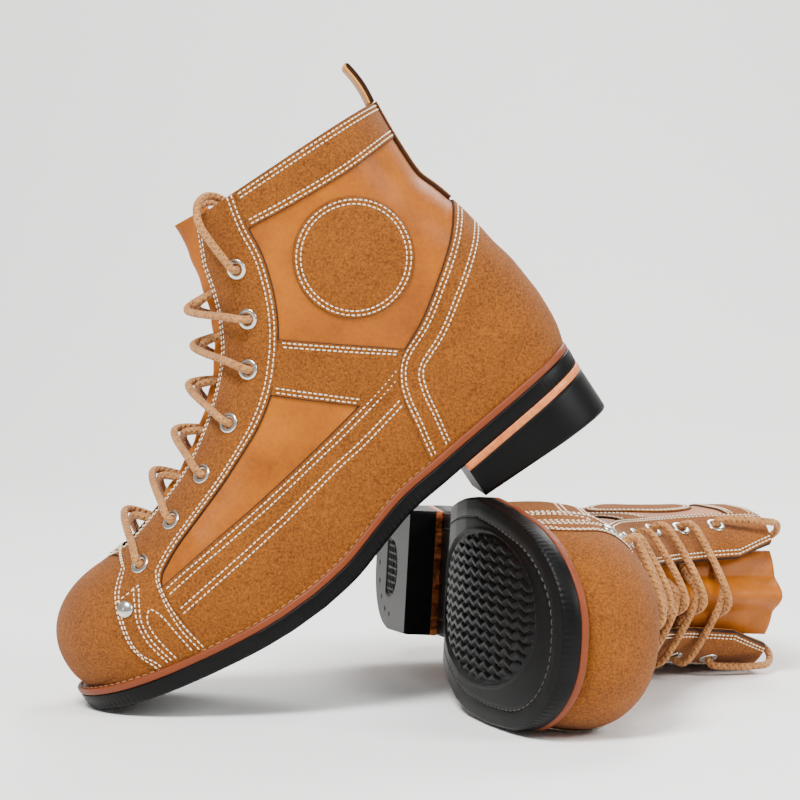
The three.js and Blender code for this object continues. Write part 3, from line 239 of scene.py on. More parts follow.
class Skin:
    """The smooth skin that every layer of the upper follows.

    Rungs run from the low line (feather edge and back seam) to the front line (toe and ridge). A
    place is (share, turn): share along the front line, and turn 0 at the outer side's low line, 1 on
    the ridge and 2 at the inner side's low line. Along a rung, part = (1 - cos(pi turn)) / 2.
    """

    ROWS, COLUMNS = 360, 321

    def __init__(self) -> None:
        """Builds the lines and the grid of points and normals."""
        ridge = spline(FRONT_RIDGE, 72)
        self.toe_top = ridge[0, 1]
        self.top_line = Profile([(TOE_TIP + 40, self.toe_top), *ridge])
        angle = np.linspace(0, np.pi / 2, 25)
        tip, top = np.cos(angle) ** (2 / ROUNDNESS), np.abs(np.sin(angle)) ** (2 / ROUNDNESS)
        toe_round = np.stack([TOE_TIP - 42 * (1 - tip), self.toe_top - 34 * (1 - top)], 1)
        foot_x = TOE_TIP - 4
        toe_foot = np.array([[foot_x, seat_z(foot_x) - 2]])
        self.front_line = Profile(np.concatenate([toe_foot, toe_round, ridge[1:]]))
        back = spline(BACK_PROFILE, 48)
        self.back_line = Profile(back)
        feather_x = np.linspace(foot_x, back[0, 0], 49)[:-1]
        feather = np.stack([feather_x, seat_z(feather_x) - 2], 1)
        self.low_line = Profile(np.concatenate([feather, back]))
        self.shares = np.linspace(0.003, 1.0, self.ROWS)
        self.turns = np.linspace(0, 2, self.COLUMNS)
        self.points = self.surface(self.shares[:, None], self.turns[None, :])
        along = np.gradient(self.points, axis=0)
        across = np.gradient(self.points, axis=1)
        self.normals = unit(np.cross(along, across))

    def width(self, x: Array, z: Array, side: Array) -> Array:
        """Half width of the skin at side-view points.

        A blend of the foot's and the shaft's width, times a superellipse fall to nothing at the
        ridge, at the toe's tip and at the back seam.
        """
        above = z - seat_z(x)
        foot = sole_width(x, side) - WELT_REACH + 1.6 * np.sin(np.pi * np.clip(above / 40, 0, 1))
        shaft = (38.5 + 3.5 * smooth(110, 200, z)) * WIDTH_GRADE
        full = foot + (shaft - foot) * smooth(30, 100, above)
        top, share = self.top_line.nearest(x, z)
        top_round = 34 + 4 * smooth(0.3, 0.5, share) + 14 * smooth(0.55, 0.85, share)
        top_share = 1 - np.clip(top / top_round, 0, 1)
        tip_x = TOE_TIP - 4 * np.clip((self.toe_top - 34 - z) / 14, 0, 1) ** 2
        tip_share = 1 - np.clip((tip_x - x) / 42, 0, 1)
        front = np.maximum(0, 1 - top_share**ROUNDNESS - tip_share**ROUNDNESS) ** (1 / ROUNDNESS)
        back, share = self.back_line.nearest(x, z)
        return full * front * rounding(back / (34 + 16 * smooth(0.35, 0.75, share)))

    def surface(self, share: Array, turn: Array) -> Array:
        """Points of the skin at places."""
        share, turn = np.broadcast_arrays(share, turn)
        low, front = self.low_line.at(table(RUNGS, share)), self.front_line.at(share)
        part = (1 - np.cos(np.pi * turn))[..., None] / 2
        flat = low + (front - low) * part
        side = np.where(turn <= 1, 1.0, -1.0)
        x, z = flat[..., 0], flat[..., 1]
        y = middle_y(x) + side * self.width(x, z, side)
        return np.stack([x, y, z], -1)

    def sample(self, share: Array, turn: Array) -> tuple[Array, Array]:
        """Points and normals at places, read bilinearly from the grid; turn wraps round the back."""
        share, turn = np.broadcast_arrays(np.asarray(share, float), np.asarray(turn, float))
        turn = np.where((turn < 0) | (turn > 2), np.mod(turn, 2), turn)
        r = np.clip((share - self.shares[0]) / (self.shares[-1] - self.shares[0]), 0, 1) * (self.ROWS - 1)
        c = np.clip(turn / 2, 0, 1) * (self.COLUMNS - 1)
        i, j = np.minimum(r.astype(int), self.ROWS - 2), np.minimum(c.astype(int), self.COLUMNS - 2)
        a, b = (r - i)[..., None], (c - j)[..., None]

        def read(grid: Array) -> Array:
            """Blend of the four grid values round each place."""
            upper = grid[i, j] * (1 - b) + grid[i, j + 1] * b
            lower = grid[i + 1, j] * (1 - b) + grid[i + 1, j + 1] * b
            return upper * (1 - a) + lower * a

        return read(self.points), unit(read(self.normals))

    def locate(self, marks: Sequence) -> Array:
        """Places (share, turn) of side-view marks on the outer side.

        The share is found by halving: a mark lies left of the rungs below it and right of those
        above it. The turn then follows from how far along its rung the mark lies.
        """
        marks = np.asarray(marks, float)
        low, high = np.full(len(marks), 0.003), np.full(len(marks), 1.0)
        for _ in range(36):
            share = (low + high) / 2
            a, b = self.low_line.at(table(RUNGS, share)), self.front_line.at(share)
            step, to = b - a, marks - a
            ahead = step[:, 0] * to[:, 1] - step[:, 1] * to[:, 0] > 0
            low, high = np.where(ahead, share, low), np.where(ahead, high, share)
        a, b = self.low_line.at(table(RUNGS, share)), self.front_line.at(share)
        step, to = b - a, marks - a
        part = np.clip((step * to).sum(1) / (step * step).sum(1), 0, 1)
        return np.stack([share, np.arccos(1 - 2 * part) / np.pi], 1)

    def span(self, near: Array, far: Array) -> Array:
        """Length over the skin between places of two edges, summed over 24 short steps."""
        v = np.linspace(0, 1, 25)[None, :, None]
        place = near[:, None] * (1 - v) + far[:, None] * v
        points = self.sample(place[..., 0], place[..., 1])[0]
        return np.linalg.norm(np.diff(points, axis=1), axis=2).sum(1)

    def throat_turn(self, share: Array, width: Array) -> Array:
        """Turn on the outer side at which the skin is a given width off the ridge's middle."""
        rows = np.clip(np.searchsorted(self.shares, share), 1, self.ROWS - 1)
        half = self.COLUMNS // 2 + 1
        result = np.empty(len(rows))
        for k, row in enumerate(rows):
            ring = self.points[row, :half]
            offset = ring[:, 1] - middle_y(ring[:, 0])
            start = half - 1 - np.argmax(offset[::-1] >= offset.max())
            result[k] = np.interp(-width[k], -offset[start:], self.turns[start:half])
        return result

    def back_turn(self, share: Array, width: float) -> Array:
        """Turn on the outer side at which the skin is a given width off the back seam."""
        rows = np.clip(np.searchsorted(self.shares, share), 1, self.ROWS - 1)
        result = np.empty(len(rows))
        for k, row in enumerate(rows):
            offset = self.points[row, :80, 1]
            result[k] = np.interp(width, offset, self.turns[:80])
        return result

    def over_ridge(self, share: Array, y: Array, height: Array) -> Array:
        """Points over the ridge: a share along it, a sideways distance and a height over the skin.

        The skin's depth under the ridge at that distance is found by halving, and the height is
        laid off along the normal of the section.
        """
        share, y, height = np.broadcast_arrays(*(np.asarray(v, float) for v in (share, y, height)))
        base, out = self.front_line.at(share), self.front_line.outward(share)

        def depth(offset: Array) -> Array:
            """Depth under the ridge at which the skin is as wide as the offset."""
            low, high = np.zeros(offset.shape), np.full(offset.shape, 48.0)
            side = np.where(offset < 0, -1.0, 1.0)
            for _ in range(22):
                mid = (low + high) / 2
                spot = base - out * mid[..., None]
                narrow = self.width(spot[..., 0], spot[..., 1], side) < np.abs(offset)
                low, high = np.where(narrow, mid, low), np.where(narrow, high, mid)
            return high

        slope = (depth(y + 1) - depth(y - 1)) / 2
        scale = height / np.hypot(1, slope)
        rise = scale - depth(y)
        spot = base + out * rise[..., None]
        return np.stack([spot[..., 0], middle_y(base[..., 0]) + y + slope * scale, spot[..., 1]], -1)


# ---- Boots in the row frame ---------------------------------------------------------------------
class Boot(Enum):
    """The two boots of the pair, by the first word of their nodes' names."""

    LEANING = "leaning"
    LYING = "lying"


class BootFrame:
    """Where one boot stands: takes its own millimetres to the row frame's metres."""

    def __init__(self, boot: Boot) -> None:
        """Turns the boot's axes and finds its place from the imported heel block."""
        self.boot = boot
        self.mirror = boot is Boot.LYING
        if self.mirror:
            turn, roll = math.radians(LYING_TURN), math.atan(LYING_FALL / BOOT_HEIGHT)
            ahead = np.array([math.sin(turn), -math.cos(turn), 0])
            up = np.array([math.cos(roll) * math.cos(turn), math.cos(roll) * math.sin(turn),
                           -math.sin(roll)])
            left = np.cross(up, ahead)
        else:
            pitch, yaw = math.radians(LEAN_PITCH), math.radians(LEAN_YAW)
            left = np.array([math.sin(yaw), -math.cos(yaw), 0])
            ahead = np.array([-math.cos(pitch) * math.cos(yaw), -math.cos(pitch) * math.sin(yaw),
                              -math.sin(pitch)])
            up = np.cross(ahead, left)
        self.axes = np.stack([ahead, -left if self.mirror else left, up])
        self.place = np.zeros(3)
        low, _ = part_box(f"{boot.value}_heel_block")
        self.place = np.array(low) - self.world(self.heel_corners()).min(0)

    @staticmethod
    def heel_corners() -> Array:
        """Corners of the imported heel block: rings along the heel, closer together at its round back."""
        share = 1 - np.cos(np.pi / 2 * (0.1 + 0.9 * np.arange(10) / 9))
        x = SOLE_BACK + 1 + (HEEL_BREAST - SOLE_BACK - 1) * (share - share[0]) / (1 - share[0])
        top = sole_z(x) - LIFT_GAP - LIFT_THICKNESS - LIFT_GAP
        sides = [sole_edge(x, side, 1.0) for side in (-1, 1)]
        return np.concatenate([np.stack([x, y, z], 1) for y in sides for z in (top, 0 * x)])

    def world(self, points: Array) -> Array:
        """Points in the row frame, in metres."""
        return np.asarray(points, float) @ self.axes * 0.001 + self.place


# ---- Meshes -------------------------------------------------------------------------------------
@dataclass
class Shape:
    """A mesh being put together, in boot millimetres, with values stored per point."""

    points: list = field(default_factory=list)
    faces: list = field(default_factory=list)
    values: list = field(default_factory=list)
    count: int = 0

    def add(self, points: Array, faces: Array, values: Array | None = None) -> "Shape":
        """Adds points and the faces between them.

        Args:
            points: (n, 3) points.
            faces: (m, 3 or 4) point numbers, from 0.
            values: One number per point, kept as a point attribute: the share of the finish's edge colour,
                which is partly painted shade and partly a painted highlight.

        Returns:
            The shape itself.
        """
        points = np.asarray(points, float).reshape(-1, 3)
        self.points.append(points)
        self.faces.extend((np.asarray(faces) + self.count).tolist())
        self.values.append(np.zeros(len(points)) if values is None else np.asarray(values, float).ravel())
        self.count += len(points)
        return self

    def add_grid(self, grid: Array, round_u: bool = False, round_v: bool = False,
                 values: Array | None = None) -> "Shape":
        """Adds a sheet of points on a grid; a round way joins its last line to its first."""
        return self.add(grid, grid_faces(*grid.shape[:2], round_u, round_v), values)


def grid_faces(rows: int, columns: int, round_u: bool = False, round_v: bool = False) -> Array:
    """Four-sided faces between the points of a rows by columns grid."""
    i = np.arange(rows if round_u else rows - 1)[:, None]
    j = np.arange(columns if round_v else columns - 1)[None, :]
    a = i * columns + j
    b = i * columns + (j + 1) % columns
    c = (i + 1) % rows * columns + (j + 1) % columns
    d = (i + 1) % rows * columns + j
    return np.stack([np.broadcast_to(v, a.shape) for v in (a, d, c, b)], -1).reshape(-1, 4)


def shell(outer: Array, inner: Array, values: Array | None = None) -> Shape:
    """A closed body between two grids of equal size: both sheets and a wall round their rims."""
    rows, columns = outer.shape[:2]
    count = rows * columns
    number = np.arange(count).reshape(rows, columns)
    rim = np.concatenate([number[0, :-1], number[:-1, -1], number[-1, :0:-1], number[:0:-1, 0]])
    after = np.roll(rim, -1)
    faces = grid_faces(rows, columns)
    wall = np.stack([rim, after, after + count, rim + count], 1)
    value = np.zeros(count) if values is None else values.ravel()
    shape = Shape()
    shape.add(np.concatenate([outer.reshape(-1, 3), inner.reshape(-1, 3)]),
              np.concatenate([faces, faces[:, ::-1] + count, wall]), np.concatenate([value, value]))
    return shape


def make(name: str, shape: Shape, frame_of: BootFrame, finish: "Finish", body: str,
         nodes: Sequence[str] = ()) -> bpy.types.Object:
    """Makes a piece of a shape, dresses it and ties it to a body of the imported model.

    Args:
        name: The piece's name without the boot's.
        shape: Its mesh in boot millimetres.
        frame_of: Where its boot stands.
        finish: What it is made of.
        body: The body it rides on, without the boot's name.
        nodes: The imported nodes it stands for, without the boot's name.

    Returns:
        The piece.
    """
    prefix = frame_of.boot.value
    points = frame_of.world(np.concatenate(shape.points))
    mesh = bpy.data.meshes.new(f"{prefix}_{name}")
    mesh.from_pydata(points, [], shape.faces)
    cut_edge_and_painted_light = mesh.attributes.new("cut_edge_and_painted_light", "FLOAT", "POINT")
    cut_edge_and_painted_light.data.foreach_set("value", np.concatenate(shape.values).astype(np.float32))
    mesh.validate()
    outward(mesh)
    mesh.polygons.foreach_set("use_smooth", np.full(len(mesh.polygons), True))
    mesh.materials.append(finish.material())
    piece = bpy.data.objects.new(f"{prefix}_{name}", mesh)
    bpy.context.scene.collection.objects.link(piece)
    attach(piece, f"{prefix}_{body}")
    if nodes:
        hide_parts(*(f"{prefix}_{node}" for node in nodes))
    LOG.info("%s: %d faces", piece.name, len(mesh.polygons))
    return piece


def outward(mesh: bpy.types.Mesh) -> None:
    """Merges points that coincide, drops flat faces and turns every closed part's faces outward."""
    bm = bmesh.new()
    bm.from_mesh(mesh)
    bmesh.ops.remove_doubles(bm, verts=bm.verts, dist=1e-6)
    bmesh.ops.dissolve_degenerate(bm, edges=bm.edges, dist=1e-7)
    bmesh.ops.recalc_face_normals(bm, faces=bm.faces)
    bm.to_mesh(mesh)
    bm.free()


# ---- Finishes -----------------------------------------------------------------------------------
def linear(colour: str) -> tuple[float, float, float, float]:
    """An sRGB hex colour as linear values: ((c + 0.055) / 1.055)^2.4 above 0.04045, else c / 12.92."""
    values = [int(colour[k:k + 2], 16) / 255 for k in (1, 3, 5)]
    return (*(((c + 0.055) / 1.055) ** 2.4 if c > 0.04045 else c / 12.92 for c in values), 1.0)


def node(tree: bpy.types.NodeTree, kind: str, links: dict | None = None, **settings) -> bpy.types.Node:
    """Adds a node.

    Args:
        tree: The material's node tree.
        kind: The node's type name.
        links: Input name or number to a value, or to an output socket to join it to.
        settings: Properties of the node.

    Returns:
        The node.
    """
    made = tree.nodes.new(kind)
    for key, value in settings.items():
        setattr(made, key, value)
    for key, value in (links or {}).items():
        if isinstance(value, bpy.types.NodeSocket):
            tree.links.new(value, made.inputs[key])
        else:
            made.inputs[key].default_value = value
    return made


def ramp(tree: bpy.types.NodeTree, factor: bpy.types.NodeSocket, stops: Sequence) -> bpy.types.NodeSocket:
    """A colour ramp with (place, hex colour) stops, read by a factor."""
    made = node(tree, "ShaderNodeValToRGB", {"Fac": factor})
    band = made.color_ramp
    while len(band.elements) < len(stops):
        band.elements.new(0.5)
    for element, (place, colour) in zip(band.elements, stops):
        element.position = place
        element.color = linear(colour)
    return made.outputs["Color"]


@dataclass(frozen=True)
class Finish:
    """A plain finish: one colour that varies a little, with a fine bump."""

    name: str
    dark: str
    light: str
    roughness: float = 0.6
    metallic: float = 0.0
    grain_mm: float = 1.0
    bump_mm: float = 0.05
    mottle_mm: float = 25.0
    sheen: float = 0.0
    # Colour mixed in at stored edges: on leather a dark cut edge with painted shade of its thickness, on the
    # welt a painted highlight.
    coat: float = 0.0
    edge: str = ""
    speckle: float = 0.5
    specular: float = 0.5
    contrast: float = 0.18

    def material(self) -> bpy.types.Material:
        """The finish's material, made once."""
        found = bpy.data.materials.get(self.name)
        return found or self.build()

    def build(self) -> bpy.types.Material:
        """Builds the node tree: mottled colour, an edge colour mixed in by a point attribute (a dark cut edge
        with painted shade of the leather's thickness, or a painted highlight on the welt), and a height for
        bump.
        """
        made = bpy.data.materials.new(self.name)
        made.use_nodes = True
        tree = made.node_tree
        shader = tree.nodes["Principled BSDF"]
        place = node(tree, "ShaderNodeTexCoord").outputs["Object"]
        colour = self.colour(tree, place)
        # Mixes in the edge colour by the stored point attribute: painted shade along cut edges, painted
        # highlight on the welt's bevel.
        if self.edge:
            cut_edge_and_painted_light = node(tree, "ShaderNodeAttribute", attribute_name="cut_edge_and_painted_light").outputs["Fac"]
            mixed = node(tree, "ShaderNodeMix", {0: cut_edge_and_painted_light, 6: colour, 7: linear(self.edge)}, data_type="RGBA")
            colour = mixed.outputs[2]
        tree.links.new(colour, shader.inputs["Base Color"])
        shader.inputs["Roughness"].default_value = self.roughness
        shader.inputs["Metallic"].default_value = self.metallic
        shader.inputs["Specular IOR Level"].default_value = self.specular
        shader.inputs["Sheen Weight"].default_value = self.sheen
        shader.inputs["Sheen Roughness"].default_value = 0.55
        shader.inputs["Coat Weight"].default_value = self.coat
        shader.inputs["Coat Roughness"].default_value = 0.28
        height = self.height(tree, place)
        bump = node(tree, "ShaderNodeBump",
                    {"Strength": 1.0, "Distance": self.bump_mm / 1000, "Height": height})
        tree.links.new(bump.outputs["Normal"], shader.inputs["Normal"])
        return made

    def colour(self, tree: bpy.types.NodeTree, place: bpy.types.NodeSocket) -> bpy.types.NodeSocket:
        """Colour from dark to light by two sizes of noise."""
        coarse = node(tree, "ShaderNodeTexNoise",
                      {"Vector": place, "Scale": 1000 / self.mottle_mm, "Detail": 3.0,
                                                  "Roughness": 0.55})
        fine = node(tree, "ShaderNodeTexNoise", {"Vector": place, "Scale": 1000 / (self.grain_mm * 1.6),
                                                "Detail": 3.0})
        share = node(tree, "ShaderNodeMix",
                     {0: self.speckle, 2: coarse.outputs["Fac"], 3: fine.outputs["Fac"]},
                     data_type="FLOAT")
        ends = [(0.5 - self.contrast, self.dark), (0.5 + self.contrast, self.light)]
        return ramp(tree, share.outputs[0], ends)

    def height(self, tree: bpy.types.NodeTree, place: bpy.types.NodeSocket) -> bpy.types.NodeSocket:
        """Height of the grain."""
        fine = node(tree, "ShaderNodeTexNoise",
                    {"Vector": place, "Scale": 1000 / self.grain_mm, "Detail": 8.0,
                                                "Roughness": 0.7})
        return fine.outputs["Fac"]


@dataclass(frozen=True)
class GrainLeather(Finish):
    """Smooth leather: pebbled grain cells and soft creases under a waxy coat."""

    def height(self, tree: bpy.types.NodeTree, place: bpy.types.NodeSocket) -> bpy.types.NodeSocket:
        """Cells of the grain, cut by their borders, over a slow wave of creases."""
        cells = node(tree, "ShaderNodeTexVoronoi", {"Vector": place, "Scale": 1000 / self.grain_mm},
                     feature="DISTANCE_TO_EDGE")
        lifted = node(tree, "ShaderNodeMath", {0: cells.outputs["Distance"], 1: 0.25}, operation="MINIMUM")
        slow = node(tree, "ShaderNodeTexNoise", {"Vector": place, "Scale": 1000 / (self.grain_mm * 9),
                                                "Detail": 5.0, "Roughness": 0.6})
        tall = node(tree, "ShaderNodeMath", {0: slow.outputs["Fac"], 1: 2.6}, operation="MULTIPLY")
        both = node(tree, "ShaderNodeMath", {0: lifted.outputs[0], 1: tall.outputs[0]}, operation="ADD")
        return both.outputs[0]


# Suede is the flesh side of a hide, buffed to a nap: matt, soft, with a faint halo at grazing angles. Its
# near-black edge colour is a dark cut edge with painted shade of the panel's thickness.
SUEDE = Finish("suede_nap", "#5f320b", "#955618", roughness=0.95, grain_mm=0.7, bump_mm=0.7, mottle_mm=22,
               sheen=0.06, edge="#2a1405", speckle=0.84, specular=0.15, contrast=0.16)
# Waxed smooth leather: orange tan, half gloss, with fine pebbled grain; its dark edge colour is a cut edge
# with painted shade.
SMOOTH = GrainLeather("smooth_pull_up_leather", "#7d3f00", "#a85c00", roughness=0.5, grain_mm=1.3,
                      bump_mm=0.18,
                      mottle_mm=30, coat=0.03, edge="#3e1c05", speckle=0.25, specular=0.22)
# Lining leather: ochre, thin and less glossy than the outside; its darker edge colour at the throat is a cut
# edge with painted shade.
LINING = GrainLeather("lining_leather", "#8f4d00", "#bd7608", roughness=0.58, grain_mm=1.2, bump_mm=0.1,
                      mottle_mm=22, edge="#5c3008", speckle=0.3)
# Welt leather: dressed reddish-brown, burnished; the lighter edge colour on its upper bevel is a painted
# highlight.
WELT = GrainLeather("dressed_welt_leather", "#461505", "#7a2f0e", roughness=0.5, grain_mm=0.8, bump_mm=0.22,
                    mottle_mm=7, coat=0.05, edge="#733410", specular=0.25)
# Heel lift: a slice of sole leather with an inked and waxed orange edge.
LIFT = Finish("waxed_lift_edge", "#b4551a", "#de8540", roughness=0.5, grain_mm=1.4, bump_mm=0.06,
              mottle_mm=20,
              coat=0.1)
# Moulded sole rubber: near-black, with a dull polish; its edge colour goes unused, as the rubber pieces store
# no edge values.
RUBBER = Finish("moulded_sole_rubber", "#020202", "#060606", roughness=0.45, grain_mm=0.8, bump_mm=0.05,
                mottle_mm=12, edge="#080808", specular=0.14)
# Nickel-plated brass, tumbled: bright, slightly warm.
NICKEL = Finish("nickel_plate", "#b9b6ae", "#d8d5cc", roughness=0.24, metallic=1.0, grain_mm=3.0,
                bump_mm=0.01)
# Waxed polyester seam thread, cream, twisted.
THREAD = Finish("cream_seam_thread", "#d9c6a2", "#fff3da", roughness=0.6, grain_mm=0.5, bump_mm=0.05,
                mottle_mm=6)
# Waxed tan thread of the welt seam, and the black one under the sole.
WELT_THREAD = Finish("tan_welt_thread", "#7c5028", "#b98a58", roughness=0.55, grain_mm=0.5, bump_mm=0.05)
SOLE_THREAD = Finish("black_sole_thread", "#1d1c1b", "#3a3836", roughness=0.5, grain_mm=0.5, bump_mm=0.05)


@dataclass(frozen=True)
class Braid(Finish):
    """Round braided cord: two sets of strands that cross on the cord's own UV map."""

    def height(self, tree: bpy.types.NodeTree, place: bpy.types.NodeSocket) -> bpy.types.NodeSocket:
        """Two slanted waves; the higher one at each point is the strand on top."""
        uv = node(tree, "ShaderNodeTexCoord").outputs["UV"]
        heights = []
        for lean in (1.0, -1.0):
            split = node(tree, "ShaderNodeSeparateXYZ", {0: uv})
            slanted = node(tree, "ShaderNodeMath", {0: split.outputs["Y"], 1: lean}, operation="MULTIPLY")
            run = node(tree, "ShaderNodeMath", {0: split.outputs["X"], 1: slanted.outputs[0]},
                       operation="ADD")
            angle = node(tree, "ShaderNodeMath", {0: run.outputs[0], 1: 2 * math.pi}, operation="MULTIPLY")
            wave = node(tree, "ShaderNodeMath", {0: angle.outputs[0]}, operation="SINE")
            heights.append(wave.outputs[0])
        top = node(tree, "ShaderNodeMath", {0: heights[0], 1: heights[1]}, operation="MAXIMUM")
        return top.outputs[0]


LACE = Braid("braided_cotton_lace", "#8c551f", "#c98c4c", roughness=0.85, grain_mm=0.6, bump_mm=0.5,
             mottle_mm=5,
             sheen=0.1)


# ---- Panels of the upper ------------------------------------------------------------------------
def edge_rows(near: bool, far: bool) -> tuple[Array, Array]:
    """Distances in millimetres of the closely set grid lines along the two long edges."""
    rows = np.array([0, 0.12, 0.4, 0.9, 1.4, 1.9, 2.5, 3.1, 3.8, 4.5, 5.4])
    plain = np.array([0, 2.0])
    return (rows if near else plain), (rows if far else plain)


def leather_height(distance: Array, top: float, rows: Sequence[float]) -> Array:
    """Height of a cut and stitched edge by its distance from the edge, in millimetres.

    A quarter ellipse 1 mm wide rounds the cut, and each stitched row pulls the leather down by up to
    0.35 mm in a dip shaped like exp(-(d / 0.75)^2).
    """
    t = np.clip(distance / 1.0, 0, 1)
    height = top * (0.35 + 0.65 * np.sqrt(1 - (1 - t) ** 2))
    for row in rows:
        height = height - 0.35 * np.exp(-(((distance - row) / 0.75) ** 2))
    return height


DOUBLE = (1.9, 4.1)
COUNTER_ROWS = (*DOUBLE, 11.4, 13.6)
# Seams on the toe band, as side-view marks: a bar, the double seam behind the rivet and a house shape.
BAND_SEAMS = (
    [(258.5, 59), (242.6, 60.4)],
    [(243.8, 59.5), (247.5, 54), (252, 46), (253, 35), (250, 20)],
    [(246, 61), (249.7, 54.8), (254.2, 46), (255.2, 35), (252.2, 20)],
    [(247.5, 20), (250, 34), (249.5, 44), (245, 48.5), (241.8, 43), (240.6, 34), (238.8, 20)],
)


@dataclass
class Panel:
    """A piece of leather between two long edges, given as places on the skin."""

    skin: Skin
    near: Array
    far: Array
    top: float
    foot: float = LAYER_FOOT
    near_rows: Sequence[float] = DOUBLE
    far_rows: Sequence[float] = DOUBLE
    near_free: bool = True
    far_free: bool = True
    across: int = 14

    def build(self) -> Shape:
        """The panel as a closed shell with round, stitched-down edges."""
        width = np.maximum(self.skin.span(self.near, self.far), 0.5)[:, None]
        first, last = edge_rows(self.near_free, self.far_free)
        scale = np.minimum(1, width * 0.45 / max(first[-1], last[-1]))
        left, right = first * scale / width, 1 - last[::-1] * scale / width
        inner = np.linspace(0, 1, self.across + 2)[1:-1]
        middle = left[:, -1:] + (right[:, :1] - left[:, -1:]) * inner
        v = np.concatenate([left, middle, right], 1)
        place = self.near[:, None] * (1 - v)[..., None] + self.far[:, None] * v[..., None]
        points, normals = self.skin.sample(place[..., 0], place[..., 1])
        from_near, from_far = v * width, (1 - v) * width
        height = np.full(v.shape, self.top)
        if self.near_free:
            height = np.minimum(height, leather_height(from_near, self.top, self.near_rows))
        if self.far_free:
            height = np.minimum(height, leather_height(from_far, self.top, self.far_rows))
        rim = np.full(v.shape, 9.0)
        rim = np.minimum(rim, from_near if self.near_free else rim)
        rim = np.minimum(rim, from_far if self.far_free else rim)
        # Within about 0.9 mm of a free edge the edge colour is mixed in: a dark cut edge with painted shade
        # of the panel's thickness.
        cut_edge_and_painted_light = np.clip(1.3 - rim / 0.7, 0, 1)
        outer = points + normals * height[..., None]
        return shell(outer, points + normals * self.foot, cut_edge_and_painted_light)


def joined(*parts: Array) -> Array:
    """Chains of points one after another."""
    return np.concatenate([np.asarray(part, float) for part in parts])


def flipped(places: Array) -> Array:
    """Places of the outer side taken to the inner side: turn becomes 2 - turn."""
    return np.stack([places[..., 0], 2 - places[..., 1]], -1)


